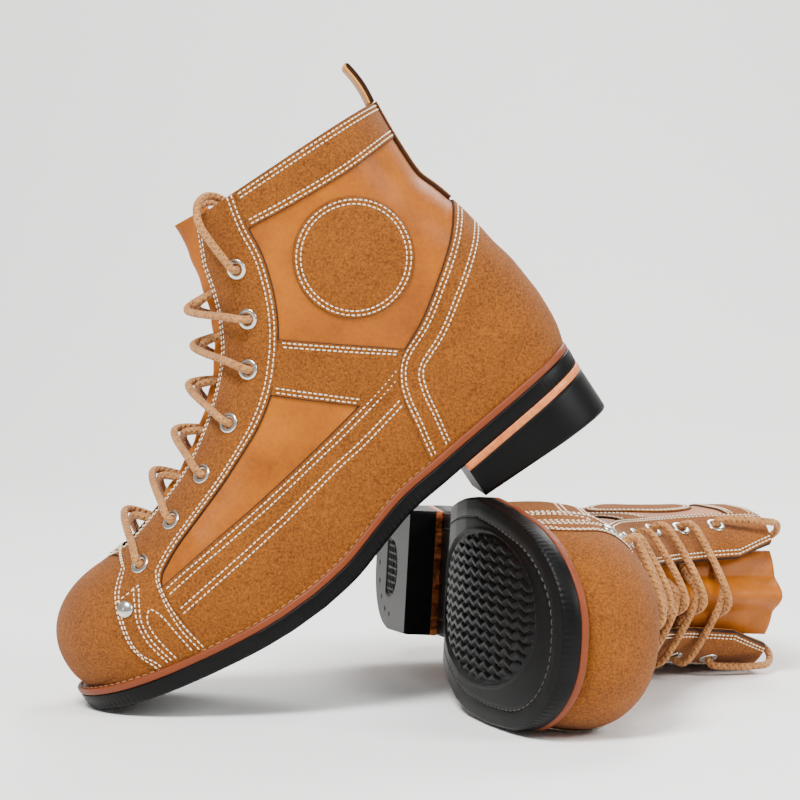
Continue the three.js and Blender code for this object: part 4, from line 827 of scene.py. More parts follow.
@dataclass
class Upper:
    """Leather panels, lining, tongue and pull tab of one boot."""

    skin: Skin
    where: BootFrame
    steps: int = 150

    def edge(self, marks: Sequence, count: int | None = None) -> Array:
        """A pattern line of marks as evenly spaced places on the outer side."""
        smoothed = spline(marks, 20 * (len(marks) - 1)) if len(marks) > 2 else np.asarray(marks, float)
        return self.skin.locate(resample(smoothed, count or self.steps))

    def throat_edge(self, count: int) -> Array:
        """The facing's front edge from the toe end to the collar, as places on the outer side."""
        share = np.linspace(THROAT_START, 1.0, count)
        return np.stack([share, self.skin.throat_turn(share, table(THROAT, share))], 1)

    def eyestay_edges(self) -> tuple[Array, Array]:
        """Front and rear edges of the toe band and eyestay, from the welt to the collar."""
        low = 52
        band = self.edge(BAND_FRONT[1:], 40)[::-1]
        top = self.skin.locate([(242.0, 78.9)])[0, 0]
        climb = np.array([[top - 0.006 + (THROAT_START - top) * t, 1.0] for t in (0.0, 0.5)])
        turn_in = np.linspace(band[-1], climb[0], 12)[1:-1]
        front = joined(band, turn_in, climb)
        throat = self.throat_edge(self.steps - len(front))
        front = joined(front, throat)
        rear_marks = spline(EYESTAY_REAR[::-1], 400)
        corner = np.argmin(np.hypot(rear_marks[:, 0] - 231.8, rear_marks[:, 1] - 57.6))
        rear = joined(resample(rear_marks[:corner + 1], low)[:-1],
                      resample(rear_marks[corner:], self.steps - low + 1))
        return front, self.skin.locate(rear)

    def panels(self) -> dict[str, tuple[Panel, ...]]:
        """All panels of one side or of both, by name."""
        skin, n = self.skin, self.steps
        share = np.linspace(0.27, 1.0, n)
        back = np.stack([share, np.zeros(n)], 1)
        front = np.stack([share, skin.throat_turn(share, table(THROAT, share) + 5)], 1)
        quarter = Panel(skin, back, front, QUARTER_TOP, near_free=False, far_free=False, across=40)
        foxing_low = np.stack([np.linspace(246, 62, n), seat_z(np.linspace(246, 62, n)) - 1.5], 1)
        foxing = Panel(skin, self.edge(FOXING_TOP), skin.locate(foxing_low), FOXING_RISE, far_free=False,
                       near_rows=(*DOUBLE, 10.6, 12.8), across=16)
        strap = Panel(skin, self.edge(STRAP_UPPER, 60), self.edge(STRAP_LOWER, 60), STRAP_TOP, across=8)
        front, rear = self.eyestay_edges()
        eyestay = Panel(skin, front, rear, EYESTAY_TOP, across=10)
        top = joined(self.edge(COUNTER_FRONT, 60)[::-1], self.edge(COUNTER_TOP, 90)[1:])
        top[-1, 1] = 0.0
        order = np.argsort(top[:, 0], kind="stable")
        top = top[order]
        counter = Panel(skin, top, top * [1, -1], COUNTER_RISE, across=60, near_rows=(), far_rows=())
        collar_marks = self.edge(COLLAR_LOW, n // 2)
        low = joined(collar_marks, [[collar_marks[-1, 0], 0.0]])
        low = joined(low, (low * [1, -1])[-2::-1])
        high = low.copy()
        high[:, 0] = 1.0
        collar = Panel(skin, low, high, COLLAR_RISE, far_free=True, across=8)
        strip = np.linspace(self.skin.locate([(2.5, 136.2)])[0, 0], 1.0, 60)
        turn = skin.back_turn(strip, BACKSTAY_HALF)
        backstay = Panel(skin, np.stack([strip, turn], 1), np.stack([strip, -turn], 1), BACKSTAY_TOP,
                         across=8)
        return {"quarter": (quarter,), "foxing": (foxing,), "ankle_strap": (strap,), "eyestay": (eyestay,),
                "counter": (counter,), "collar": (collar,), "backstay": (backstay,)}

    def build(self) -> None:
        """Makes every panel, each side of a paired one as a piece of its own."""
        panels = self.panels()
        looks = {"quarter": (SMOOTH, "smooth_leather"), "foxing": (SUEDE, "suede"),
                 "ankle_strap": (SUEDE, "suede"),
                 "eyestay": (SUEDE, "suede")}
        for name, (finish, slot) in looks.items():
            panel = panels[name][0]
            for side in ("lateral", "medial"):
                if side == "medial":
                    panel.near, panel.far = flipped(panel.near), flipped(panel.far)
                make(f"{name}_{side}_leather", panel.build(), self.where, finish, "boot",
                     [f"{name}_{side}"])
        make("counter_leather", panels["counter"][0].build(), self.where, SUEDE, "boot", ["counter"])
        make("collar_leather", panels["collar"][0].build(), self.where, SUEDE, "boot",
             ["collar_band_lateral", "collar_band_medial"])
        make("backstay_leather", panels["backstay"][0].build(), self.where, SUEDE, "boot",
             ["backstay"])
        self.toe_cap()
        self.ankle_patches()
        self.lining()
        self.tongue()
        self.pull_tab()
        self.seams(panels)

    def toe_cap(self) -> None:
        """The toe: the skin from its tip to just under the band, on both sides in one sheet."""
        turns = np.linspace(0, 2, 161)
        band = self.edge(BAND_FRONT[1:], 60)
        order = np.argsort(band[:, 1])
        edge = np.interp(np.where(turns <= 1, turns, 2 - turns), band[order, 1], band[order, 0])
        share = 0.004 + (edge[None, :] + 0.012 - 0.004) * np.linspace(0, 1, 90)[:, None]
        points, normals = self.skin.sample(share, turns[None, :] + 0 * share)
        make("toe_cap_leather", shell(points + normals * VAMP_TOP, points + normals * LAYER_FOOT), self.where,
             SUEDE, "boot", ["vamp"])

    def ankle_patches(self) -> None:
        """The round patches over the ankles: a disc in the side view, laid on the skin."""
        radius = np.concatenate([[0.01], np.linspace(3, PATCH_RADIUS - 5.4, 12),
                                 PATCH_RADIUS - edge_rows(True, True)[0][::-1]])
        angle = np.linspace(0, 2 * np.pi, 120, endpoint=False)
        marks = np.stack([PATCH_CENTRE[0] + radius[:, None] * np.cos(angle),
                          PATCH_CENTRE[1] + radius[:, None] * np.sin(angle)], -1)
        places = self.skin.locate(marks.reshape(-1, 2)).reshape(*marks.shape[:2], 2)
        height = leather_height(PATCH_RADIUS - radius, STRAP_TOP, DOUBLE)[:, None]
        # The rim takes the edge colour: a dark cut edge with painted shade of the patch's thickness.
        cut_edge_and_painted_light = np.clip(1 - (PATCH_RADIUS - radius[:, None]) / 0.5, 0, 1) + 0 * angle
        for side in ("lateral", "medial"):
            if side == "medial":
                places = flipped(places)
            points, normals = self.skin.sample(places[..., 0], places[..., 1])
            outer = points + normals * height[..., None]
            inner = points + normals * QUARTER_TOP * 0.9
            count = outer.shape[0] * outer.shape[1]
            shape = Shape().add_grid(outer, round_v=True, values=cut_edge_and_painted_light).add_grid(inner[::-1], round_v=True)
            rim = count - len(angle) + np.arange(len(angle))
            low = count + np.arange(len(angle))
            shape.faces.extend(np.stack([rim, np.roll(rim, -1), np.roll(low, -1), low], 1).tolist())
            shape.faces.append(np.arange(len(angle)).tolist())
            shape.faces.append((2 * count - len(angle) + np.arange(len(angle)))[::-1].tolist())
            make(f"ankle_patch_{side}_leather", shape, self.where, SUEDE, "boot",
                 [f"ankle_patch_{side}"])

    def lining(self) -> None:
        """The lining: one sheet inside the shaft from throat edge to throat edge round the back."""
        share = np.concatenate([np.linspace(0.303, 0.97, 110), np.linspace(0.975, 1.0, 8)])
        edge = self.skin.throat_turn(share, table(THROAT, share) + 0.4)
        across = np.sin(np.linspace(-1, 1, 141) * np.pi / 2)
        turns = edge[:, None] * across
        points, normals = self.skin.sample(share[:, None] + 0 * turns, turns)
        outer, inner = points + normals * 0.02, points + normals * LINING_IN
        # The throat edges take the lining's darker edge colour: a dark cut edge with painted shade.
        cut_edge_and_painted_light = np.clip(1 - (edge[:, None] - np.abs(turns)) * 40, 0, 1)
        make("lining_leather", shell(outer, inner, cut_edge_and_painted_light), self.where, LINING, "boot",
             ["lining"])

    def tongue(self) -> None:
        """The tongue: a long pad that follows the ridge, domed in the throat and thin at its edges."""
        share = np.linspace(0.3, 1.015, 110)[:, None]
        half = 22 + 7 * smooth(0.3, 0.9, share)
        across = np.linspace(-1, 1, 45)[None, :]
        y = half * across
        sunk = 1 - smooth(0.37, 0.47, share)
        crest = 2.4 * (1 - sunk) - 7.4 * sunk
        wave = (0.35 * np.sin(share * 95) * np.exp(-(across * 1.6) ** 2) * (1 - sunk)
                * smooth(1.0, 0.93, share))
        height = crest + (-7.4 - crest) * smooth(0, 13, np.abs(y)) + wave
        outer = self.skin.over_ridge(np.minimum(share, 1.0), y, height)
        beyond = (np.maximum(share, 1.0) - 1) * self.skin.front_line.reach[-1]
        inner = self.skin.over_ridge(np.minimum(share, 1.0), y, height - 2.2)
        for grid in (outer, inner):
            grid[..., 2] += beyond
        make("tongue_leather", shell(outer, inner), self.where, SMOOTH, "boot", ["tongue"])

    def pull_tab(self) -> None:
        """The pull tab: a strap folded over on itself, suede outside, standing on the backstay.

        The middle line is two straight runs joined by a half circle; the strap is 1.9 mm thick.
        """
        x0, z0 = self.skin.back_line.at(np.array(1.0))
        radius, rise = 1.12, PULL_TAB_HEIGHT + 1.2
        angle = np.linspace(0, np.pi, 17)
        half = len(angle) // 2 + 1
        turn = np.stack([-radius * np.cos(angle), rise + radius * np.sin(angle)], 1)
        behind = joined([[-radius, 0.8], [-radius, rise * 0.5]], turn[:half])
        ahead = joined(turn[half - 1:], [[radius, rise * 0.5], [radius, 0.8]])
        for name, run, finish in (("pull_tab_leather", behind, SUEDE), ("pull_tab_facing", ahead, LINING)):
            line = resample(run, 60)
            line[:, 0] += x0 - 0.6 - 1.1 * np.sin(np.clip(line[:, 1] / rise, 0, 1) * np.pi)
            line[:, 1] += z0
            step = unit(np.gradient(line, axis=0))
            out = np.stack([-step[:, 1], step[:, 0]], 1)
            across = np.concatenate([[-1, -0.97, -0.9], np.linspace(-0.8, 0.8, 9), [0.9, 0.97, 1]])
            soft = 1 - 0.45 * np.abs(across) ** 12
            width = BACKSTAY_HALF * (1 - 0.12 * smooth(0, rise, line[:, 1] - z0))
            sheets = []
            for side in (0.95, -0.95):
                flat = line[:, None] + out[:, None] * (side * soft[None, :, None])
                sheets.append(np.stack([flat[..., 0], width[:, None] * across, flat[..., 1]], -1))
            # The strap's long edges take the edge colour: a dark cut edge with painted shade.
            cut_edge_and_painted_light = np.clip(np.abs(across) * 8 - 7, 0, 1) + 0 * line[:, :1]
            make(name, shell(sheets[0], sheets[1], cut_edge_and_painted_light), self.where, finish, "pull_tab_loop",
                 ["pull_tab"])

    def seams(self, panels: dict[str, tuple[Panel, ...]]) -> None:
        """Rows of stitches along the panels' edges, all as one piece."""
        shape = Shape()
        for name, panel in ((key, value[0]) for key, value in panels.items()):
            if name == "quarter":
                continue
            both = name in ("foxing", "ankle_strap", "eyestay")
            for rows, free, here, there in ((panel.near_rows, panel.near_free, panel.near, panel.far),
                                            (panel.far_rows, panel.far_free, panel.far, panel.near)):
                if not free:
                    continue
                for row in rows:
                    for mirror in ((False, True) if both else (False,)):
                        near, far = (flipped(here), flipped(there)) if mirror else (here, there)
                        self.row(shape, near, far, row, panel.top - 0.28, name)
        angle = np.linspace(0, 2 * np.pi, 200)
        for row in DOUBLE:
            r = PATCH_RADIUS - row
            marks = np.stack([PATCH_CENTRE[0] + r * np.cos(angle), PATCH_CENTRE[1] + r * np.sin(angle)], 1)
            places = self.skin.locate(marks)
            for side in (places, flipped(places)):
                points, normals = self.skin.sample(side[:, 0], side[:, 1])
                stitches(shape, points + normals * (STRAP_TOP - 0.28), normals, 2.7, 0.42)
        line = spline(joined(COUNTER_FRONT[::-1], COUNTER_TOP[1:]), 200)
        step = unit(np.gradient(line, axis=0))
        for row in COUNTER_ROWS:
            marks = line + np.stack([-step[:, 1], step[:, 0]], 1) * row
            places = self.skin.locate(marks)
            inside = (places[:, 1] > 0.06) & (marks[:, 1] > seat_z(marks[:, 0]) + 1.2)
            for side in (places[inside], flipped(places[inside])):
                points, normals = self.skin.sample(side[:, 0], side[:, 1])
                stitches(shape, points + normals * (COUNTER_RISE - 0.12), normals, 2.7, 0.42)
        for marks in BAND_SEAMS:
            smoothed = resample(spline(marks, 60) if len(marks) > 2 else np.asarray(marks, float), 60)
            places = self.skin.locate(smoothed[smoothed[:, 1] > seat_z(smoothed[:, 0]) + 1.5])
            for side in (places, flipped(places)):
                points, normals = self.skin.sample(side[:, 0], side[:, 1])
                stitches(shape, points + normals * (EYESTAY_TOP - 0.12), normals, 2.7, 0.42)
        make("seam_stitches", shape, self.where, THREAD, "boot")

    def row(self, shape: Shape, near: Array, far: Array, offset: float, height: float, name: str) -> None:
        """One row of stitches at an offset from a panel's edge, left out where another panel covers it."""
        width = self.skin.span(near, far)
        good = width > offset * 2.2
        v = offset / np.maximum(width, 1e-6)
        place = near * (1 - v)[:, None] + far * v[:, None]
        points, normals = self.skin.sample(place[:, 0], place[:, 1])
        side_x, side_z = points[:, 0], points[:, 2]
        if name in ("foxing", "ankle_strap", "collar"):
            rear = spline(EYESTAY_REAR[::-1], 300)
            order = np.argsort(rear[:, 1])
            limit = np.interp(side_z, rear[order, 1], rear[order, 0])
            good &= side_x < limit - 0.8
        if name in ("foxing", "ankle_strap"):
            front = np.asarray(COUNTER_FRONT[::-1] + [(66, 90), (63.3, 96)], float)
            good &= side_x > np.interp(side_z, front[:, 1], front[:, 0]) + 0.8
        if name == "ankle_strap":
            top = np.asarray(FOXING_TOP[::-1], float)
            good &= side_z > np.interp(side_x, top[:, 0], top[:, 1]) + 1.0
        good &= side_z > seat_z(side_x) + 0.8
        if name == "collar":
            good &= np.abs(points[:, 1]) > BACKSTAY_HALF + 0.5
        for run in runs(good):
            if len(run) > 3:
                stitches(shape, (points + normals * height)[run], normals[run], 2.7, 0.42)


def runs(good: Array) -> list[Array]:
    """The stretches of a list of flags that are true, as arrays of numbers."""
    number = np.flatnonzero(good)
    return np.split(number, np.flatnonzero(np.diff(number) > 1) + 1) if len(number) else []


def stitches(shape: Shape, line: Array, normals: Array, pitch: float, radius: float) -> None:
    """Adds a row of stitches along a line.

    Each stitch is a short thread whose ends dip into the leather: over t from -1 to 1 its middle
    line is at 0.4 length t along the row and rises by 0.3 (1 - t^2) mm, and its five-sided section
    shrinks to a point at both ends.
    """
    step = np.linalg.norm(np.diff(line, axis=0), axis=1)
    reach = np.concatenate([[0], np.cumsum(step)])
    count = int(reach[-1] / pitch)
    if count < 1:
        return
    goal = (np.arange(count) + 0.5) * reach[-1] / count
    centre = np.stack([np.interp(goal, reach, line[:, k]) for k in range(3)], 1)
    ahead = np.stack([np.interp(goal + 0.4, reach, line[:, k]) for k in range(3)], 1)
    behind = np.stack([np.interp(goal - 0.4, reach, line[:, k]) for k in range(3)], 1)
    along = unit(ahead - behind)
    normal = np.stack([np.interp(goal, reach, normals[:, k]) for k in range(3)], 1)
    normal = unit(normal - along * (normal * along).sum(1, keepdims=True))
    side = np.cross(along, normal)
    t = np.array([-0.8, 0.0, 0.8])
    size = np.array([0.75, 1.0, 0.75])
    angle = np.arange(5) * 2 * np.pi / 5
    half = 0.38 * pitch
    middle = (centre[:, None] + along[:, None] * (t * half)[None, :, None]
              + normal[:, None] * (0.3 * (1 - t**2))[None, :, None])
    ring = (normal[:, None, None] * np.cos(angle)[None, None, :, None]
            + side[:, None, None] * np.sin(angle)[None, None, :, None]) * (size * radius)[None, :, None, None]
    body = middle[:, :, None] + ring
    reach = (np.array([-1.0, 1.0]) * half)[None, :, None]
    tips = centre[:, None] + along[:, None] * reach - normal[:, None] * 0.15
    points = np.concatenate([body.reshape(count, 15, 3), tips], 1)
    quads = grid_faces(3, 5, round_v=True)
    fans = [[k, (k + 1) % 5, 15, 15] for k in range(5)]
    fans += [[10 + (k + 1) % 5, 10 + k, 16, 16] for k in range(5)]
    base = (np.arange(count) * 17)[:, None, None]
    shape.add(points.reshape(-1, 3), (quads[None] + base).reshape(-1, 4))
    triangles = (np.array(fans)[None, :, :3] + base).reshape(-1, 3) + shape.count - count * 17
    shape.faces.extend(triangles.tolist())


# ---- Eyelets, rivets and laces ------------------------------------------------------------------
@dataclass
class Fastenings:
    """Eyelets, rivets and lace of one boot."""

    skin: Skin
    where: BootFrame

    def frames(self, marks: Sequence, side: int) -> tuple[Array, Array]:
        """Feet and axes of fittings at side-view marks."""
        places = self.skin.locate(marks)
        if side < 0:
            places = flipped(places)
        return self.skin.sample(places[:, 0], places[:, 1])

    def turned(self, marks: Sequence, outline: Sequence) -> dict[str, Shape]:
        """A turned body on each mark of each side.

        The outline gives (radius, height) pairs in millimetres, carried round the axis in 24 steps.
        """
        outline = np.asarray(outline, float)
        angle = np.linspace(0, 2 * np.pi, 24, endpoint=False)
        shapes = {}
        for name, side in (("lateral", 1), ("medial", -1)):
            shape = Shape()
            for foot, axis in zip(*self.frames(marks, side)):
                first = unit(np.cross(axis, [0.3, 0.1, 1.0]))
                second = np.cross(axis, first)
                ring = first * np.cos(angle)[:, None] + second * np.sin(angle)[:, None]
                grid = foot + axis * outline[:, 1, None, None] + ring[None] * outline[:, 0, None, None]
                shape.add_grid(grid, round_u=True, round_v=True)
            shapes[name] = shape
        return shapes

    def build(self) -> None:
        """Makes eyelets, rivets and the lace."""
        top = EYESTAY_TOP - 0.1
        eyelet = [(2.75, -1.7), (2.75, top + 0.2),
                  *np.stack([4.1 - 1.32 * np.cos(np.linspace(0, np.pi, 9)),
                             top + 0.25 + 0.72 * np.sin(np.linspace(0, np.pi, 9))], 1),
                  (5.2, top - 0.4), (3.3, top - 0.4), (3.3, -1.7)]
        for side, shape in self.turned(EYELETS, eyelet).items():
            make(f"eyelet_row_{side}_rings", shape, self.where, NICKEL, "boot",
                 [f"eyelet_row_{side}"])
        dome = np.linspace(0, np.pi / 2, 9)
        rivet = [*np.stack([4.4 * np.cos(dome), top + 0.45 + 2.0 * np.sin(dome)], 1), (0.02, top + 0.5),
                 (0.02, top - 0.6), (4.4, top - 0.6)]
        rivet[8] = (0.02, top + 2.45)
        for side, shape in self.turned([RIVET], rivet).items():
            make(f"rivet_{side}_head", shape, self.where, NICKEL, "boot", [f"rivet_{side}"])
        self.lace()

    def strand(self, start: int) -> tuple[list, int]:
        """One strand: up through an eyelet, over the tongue and down under the other facing."""
        skin = self.skin
        shares = skin.front_line.nearest(*np.asarray(EYELETS, float).T)[1]
        spots = {side: self.frames(EYELETS, side) for side in (1, -1)}
        points, side = [], start
        inside, outside = -5.3, 8.6
        rises = [(13.5, 8.5), (8.5, 13.5)]
        for k in range(len(EYELETS)):
            foot, axis = spots[side][0][k], spots[side][1][k]
            reach = abs(foot[1] - middle_y(foot[0]))
            before = shares[k] + 0.12 * (shares[max(0, k - 1)] - shares[k])
            after = shares[k] + 0.12 * (shares[min(len(shares) - 1, k + 1)] - shares[k])
            if k > 0:
                edge = float(table(THROAT, before)) - 3.5
                points.append(skin.over_ridge(before + 0.12 * (shares[k - 1] - before), side * edge, inside))
            points.append(skin.over_ridge(before, side * (reach - LACE_BEND), inside))
            points.append(foot + axis * -3.0)
            points.append(foot + axis * 5.6)
            if k < len(EYELETS) - 1:
                points.append(skin.over_ridge(after, side * (reach - LACE_BEND), outside))
                rise = rises[k % 2][0 if start > 0 else 1]
                points.append(skin.over_ridge((shares[k] + shares[k + 1]) / 2, 0.0, rise))
                side = -side
        return points, side

    def tail(self, side: int) -> list:
        """The end of the lace: over the collar's front corner and down inside the shaft."""
        foot, axis = (values[-1] for values in self.frames(EYELETS, side))
        x, z = 113.0, 200.0
        place = self.skin.locate([(x - 6, z - 1)])
        rim = self.skin.sample(place[:, 0], place[:, 1])[0][0, 1]
        inward = side * (rim - 5.2)
        return [foot + axis * 8 + np.array([0, 0, 5]), np.array([x + 4, side * (rim + 6), z - 6]),
                np.array([x, side * (rim + 4.5), z + 4]), np.array([x - 7, side * (rim - 1), z + 6.5]),
                np.array([x - 13, inward, z + 1]), np.array([x - 16, inward, z - 12]),
                np.array([x - 19, inward, z - 0.5 * LACE_TAIL])]

    def lace(self) -> None:
        """The lace: a round braided cord through all eyelets, both ends tucked into the shaft."""
        first, first_side = self.strand(1)
        second, second_side = self.strand(-1)
        start = float(self.skin.front_line.nearest(*np.asarray(EYELETS[:1], float).T)[1][0])
        bar = [self.skin.over_ridge(start, y, -4.3) for y in (8.0, 0.0, -8.0)]
        route = [*self.tail(first_side)[::-1], *first[::-1], *bar, *second, *self.tail(second_side)]
        line = spline(np.array(route), 12 * (len(route) - 1))
        length = np.linalg.norm(np.diff(line, axis=0), axis=1).sum()
        line = resample(line, int(length / 1.6))
        radius = LACE_DIAMETER / 2 - 0.05
        shape, uvs = tube(line, radius, 12, length)
        piece = make("lace_cord", shape, self.where, LACE, "boot", ["lace"])
        write_uv(piece, uvs)
        path = self.where.world(line)
        LOG.info("%s: %.0f mm long", piece.name, length)


def tube(line: Array, radius: float, sides: int, length: float) -> tuple[Shape, Array]:
    """A closed tube along a line.

    Rings stand square to the line; each ring's first direction is the last one's with its part
    along the line taken off, so the tube doesn't twist.

    Args:
        line: Points of the middle line.
        radius: The tube's radius in millimetres.
        sides: Corners of a ring.
        length: The line's length, for the braid's map.

    Returns:
        The shape, and per point the run along the cord and the share round it.
    """
    along = unit(np.gradient(line, axis=0))
    first = np.empty_like(line)
    first[0] = unit(np.cross(along[0], [0.2, 1.0, 0.1]))
    for k in range(1, len(line)):
        first[k] = unit(first[k - 1] - along[k] * (first[k - 1] @ along[k]))
    second = np.cross(along, first)
    angle = np.linspace(0, 2 * np.pi, sides, endpoint=False)
    ring = first[:, None] * np.cos(angle)[None, :, None] + second[:, None] * np.sin(angle)[None, :, None]
    grid = line[:, None] + ring * radius
    shape = Shape().add_grid(grid, round_v=True)
    last = len(line) * sides
    shape.faces.append(np.arange(sides)[::-1].tolist())
    shape.faces.append(np.arange(last - sides, last).tolist())
    run = np.linspace(0, length / BRAID_PITCH, len(line))[:, None] + 0 * angle
    return shape, np.stack([run, np.arange(sides)[None, :] * BRAID_PLAITS / sides + 0 * run],
                           -1).reshape(-1, 2)


def write_uv(piece: bpy.types.Object, uvs: Array) -> None:
    """Gives a tube its UV map by point number; at the seam the share goes on past its end."""
    mesh = piece.data
    layer = mesh.uv_layers.new(name="braid")
    loops = np.empty(len(mesh.loops), np.int32)
    mesh.loops.foreach_get("vertex_index", loops)
    values = uvs[np.minimum(loops, len(uvs) - 1)].copy()
    starts = np.empty(len(mesh.polygons), np.int32)
    totals = np.empty(len(mesh.polygons), np.int32)
    mesh.polygons.foreach_get("loop_start", starts)
    mesh.polygons.foreach_get("loop_total", totals)
    quads = starts[totals == 4][:, None] + np.arange(4)
    around = values[quads, 1]
    wrap = around.max(1, keepdims=True) - around > BRAID_PLAITS / 2
    values[quads, 1] = around + np.where(wrap, BRAID_PLAITS, 0.0)
    layer.data.foreach_set("uv", values.astype(np.float32).ravel())


# ---- Sole ---------------------------------------------------------------------------------------
@dataclass
class Sole:
    """Outsole, welt, heel lift, heel block and what lies under the foot."""

    where: BootFrame

    def outline(self, inset: float, count: int = 240) -> tuple[Array, Array]:
        """Points (x, y) round the sole at an inset, and their outward directions in the plane."""
        t = (1 - np.cos(np.linspace(0, np.pi, count // 2 + 1))) / 2
        x = SOLE_BACK + inset - 0.85 + (SOLE_TIP - SOLE_BACK - 2 * inset + 1.7) * t
        left, right = (np.stack([x, sole_edge(x, side, inset)], 1) for side in (1.0, -1.0))
        loop = np.concatenate([left[:-1], right[:0:-1]])
        loop = resample(np.concatenate([loop, loop[:1]]), count + 1)[:-1]
        step = np.roll(loop, -1, 0) - np.roll(loop, 1, 0)
        out = unit(np.stack([-step[:, 1], step[:, 0]], 1))
        centre = loop.mean(0)
        if ((loop - centre) * out).sum() < 0:
            out = -out
        return loop, out

    def rim(self, section: Sequence, base: Callable, inset: float = 0.0) -> Array:
        """A closed loft round the sole: (inward distance, height) pairs carried along its outline."""
        loop, out = self.outline(inset)
        grid = []
        for inward, height in section:
            flat = loop - out * inward
            grid.append(np.stack([flat[:, 0], flat[:, 1], base(flat[:, 0]) + height], 1))
        return np.stack(grid)

    def build(self) -> None:
        """Makes all pieces of the sole."""
        self.outsole()
        self.welt()
        self.heel()
        for name, finish, slot in (("insole", LINING, "insole_leather"), ("cork_filler", LIFT, "cork"),
                                   ("shank", NICKEL, "shank_steel")):
            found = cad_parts[f"{self.where.boot.value}_{name}"]
            found.data.materials.clear()
            found.data.materials.append(finish.material())

    def outsole(self) -> None:
        """The outsole: a serrated edge strip, a plain rim, and a tread field inside a stitched groove.

        The edge is a wave of 3.1 mm pitch and 0.8 mm depth on its lower half. Below, the depth of
        each point is a function of its distance from the edge and of its place: a groove at 10 mm,
        a recess under the ball with a raised border, and zigzag bars inside it.
        """
        loop, out = self.outline(0.0, 720)
        run = np.concatenate([[0], np.cumsum(np.linalg.norm(np.diff(loop, axis=0), axis=1))])
        tooth = 0.8 * (np.abs((run / 3.1) % 1 - 0.5) * 2) ** 0.6
        section = [(2.5, 8.7, 0), (0.5, 8.7, 0), (0.12, 8.4, 0), (0, 8.0, 0), (0, 4.6, 0.1), (0, 3.0, 0.7),
                   (0, 1.4, 1), (0.3, 0.6, 1), (0.9, 0.15, 0.8), (1.6, 0.0, 0)]
        side = []
        for inward, height, share in section:
            flat = loop - out * (inward + tooth * share)[:, None]
            side.append(np.stack([flat[:, 0], flat[:, 1], sole_z(flat[:, 0]) + height], 1))
        field_depths = np.concatenate([np.array([1.6, 5, 8.6, 9.2, 9.8, 10.4, 11.0]),
                                       np.linspace(12, 54, 54)])
        rings = []
        centre_line = np.clip(loop[:, 0], SOLE_BACK + 38, SOLE_TIP - 52)
        hub = np.stack([centre_line, middle_y(centre_line)], 1)
        reach = np.linalg.norm(loop - hub, axis=1)
        direction = (hub - loop) / reach[:, None]
        for depth in field_depths:
            if depth <= 11.0:
                flat = loop + direction * depth
            else:
                flat = loop + direction * (11 + (reach - 11) * (depth - 11) / 43)[:, None]
            rings.append(flat)
        flat = np.stack(rings)
        distance = np.minimum(np.linalg.norm(flat - loop, axis=2), 60)
        rise = self.tread(flat[..., 0], flat[..., 1], distance)
        under = np.concatenate([flat, (sole_z(flat[..., 0]) + rise)[..., None]], -1)
        shape = Shape().add_grid(np.stack(side), round_v=True)
        shape.add_grid(under, round_v=True)
        make("outsole_rubber", shape, self.where, RUBBER, "boot", ["outsole"])

    def tread(self, x: Array, y: Array, distance: Array) -> Array:
        """How far the tread lies above the sole's lowest surface, in millimetres.

        A groove 0.8 mm deep lies 10 mm in. Under the ball, inside an egg shape 2.2 mm proud at its
        border, the field is 1.8 mm deep, and zigzag bars stand 1.5 mm high in it.
        """
        groove = 0.8 * np.exp(-(((distance - 9.8) / 0.6) ** 2))
        centre_x, centre_y = 212.0, middle_y(np.array(212.0)) + 1.0
        egg = np.hypot((x - centre_x) / 71, (y - centre_y) / (39 + 0.07 * (x - centre_x)))
        inside = 1.9 * smooth(1.0, 0.955, egg)
        border = -1.0 * np.exp(-(((egg - 0.985) / 0.018) ** 2))
        wave = np.abs(((x - 150) / 12.0) % 1 - 0.5) * 2
        lane = ((y - centre_y + 2.3 * wave) / 5.0) % 1
        bars = smooth(0.26, 0.4, np.abs(lane - 0.5))
        field_rise = inside - 1.6 * (1 - bars) * smooth(0.94, 0.9, egg)
        return groove + field_rise + border * (egg < 1.1)

    def welt(self) -> None:
        """The welt: a dressed strip all round with a bevelled edge, a groove and coarse stitches."""
        def base(x: Array) -> Array:
            """The top of the outsole."""
            return sole_z(x) + OUTSOLE_THICKNESS

        section = [(12.0, 0.2), (0.7, 0.15), (0.15, 0.45), (0.0, 1.0), (0.0, 2.9), (0.2, 3.6), (0.7, 3.95),
                   (2.0, 4.0), (2.6, 3.75), (3.2, 4.0), (4.6, 4.1), (5.2, 4.4), (5.9, 4.3), (12.0, 4.2)]
        grid = self.rim(section, base)
        cut_edge_and_painted_light = np.zeros(grid.shape[:2])
        # The lighter edge colour on the bevel, strongest at its upper corner, is a painted highlight.
        cut_edge_and_painted_light[2:7] = [[0.5], [0.8], [0.8], [1.0], [0.6]]
        shape = Shape().add_grid(grid, round_u=True, round_v=True, values=cut_edge_and_painted_light)
        make("welt_leather", shape, self.where, WELT, "boot", ["welt"])
        loop, out = self.outline(0.0, 900)
        flat = loop - out * 2.6
        line = np.stack([flat[:, 0], flat[:, 1], base(flat[:, 0]) + 3.98], 1)
        line = np.concatenate([line, line[:1]])
        threads = Shape()
        stitches(threads, line, np.tile([0, 0, 1.0], (len(line), 1)), *WELT_STITCH)
        make("welt_stitches", threads, self.where, WELT_THREAD, "boot")
        threads = Shape()
        under = loop - out * 9.8
        low = np.stack([under[:, 0], under[:, 1], sole_z(under[:, 0]) + 0.5], 1)
        ahead = low[:, 0] > HEEL_BREAST + 3
        for part in runs(ahead):
            if len(part) > 4:
                stitches(threads, low[part], np.tile([0, 0, -1.0], (len(part), 1)), *SOLE_STITCH)
        make("sole_stitches", threads, self.where, SOLE_THREAD, "boot")

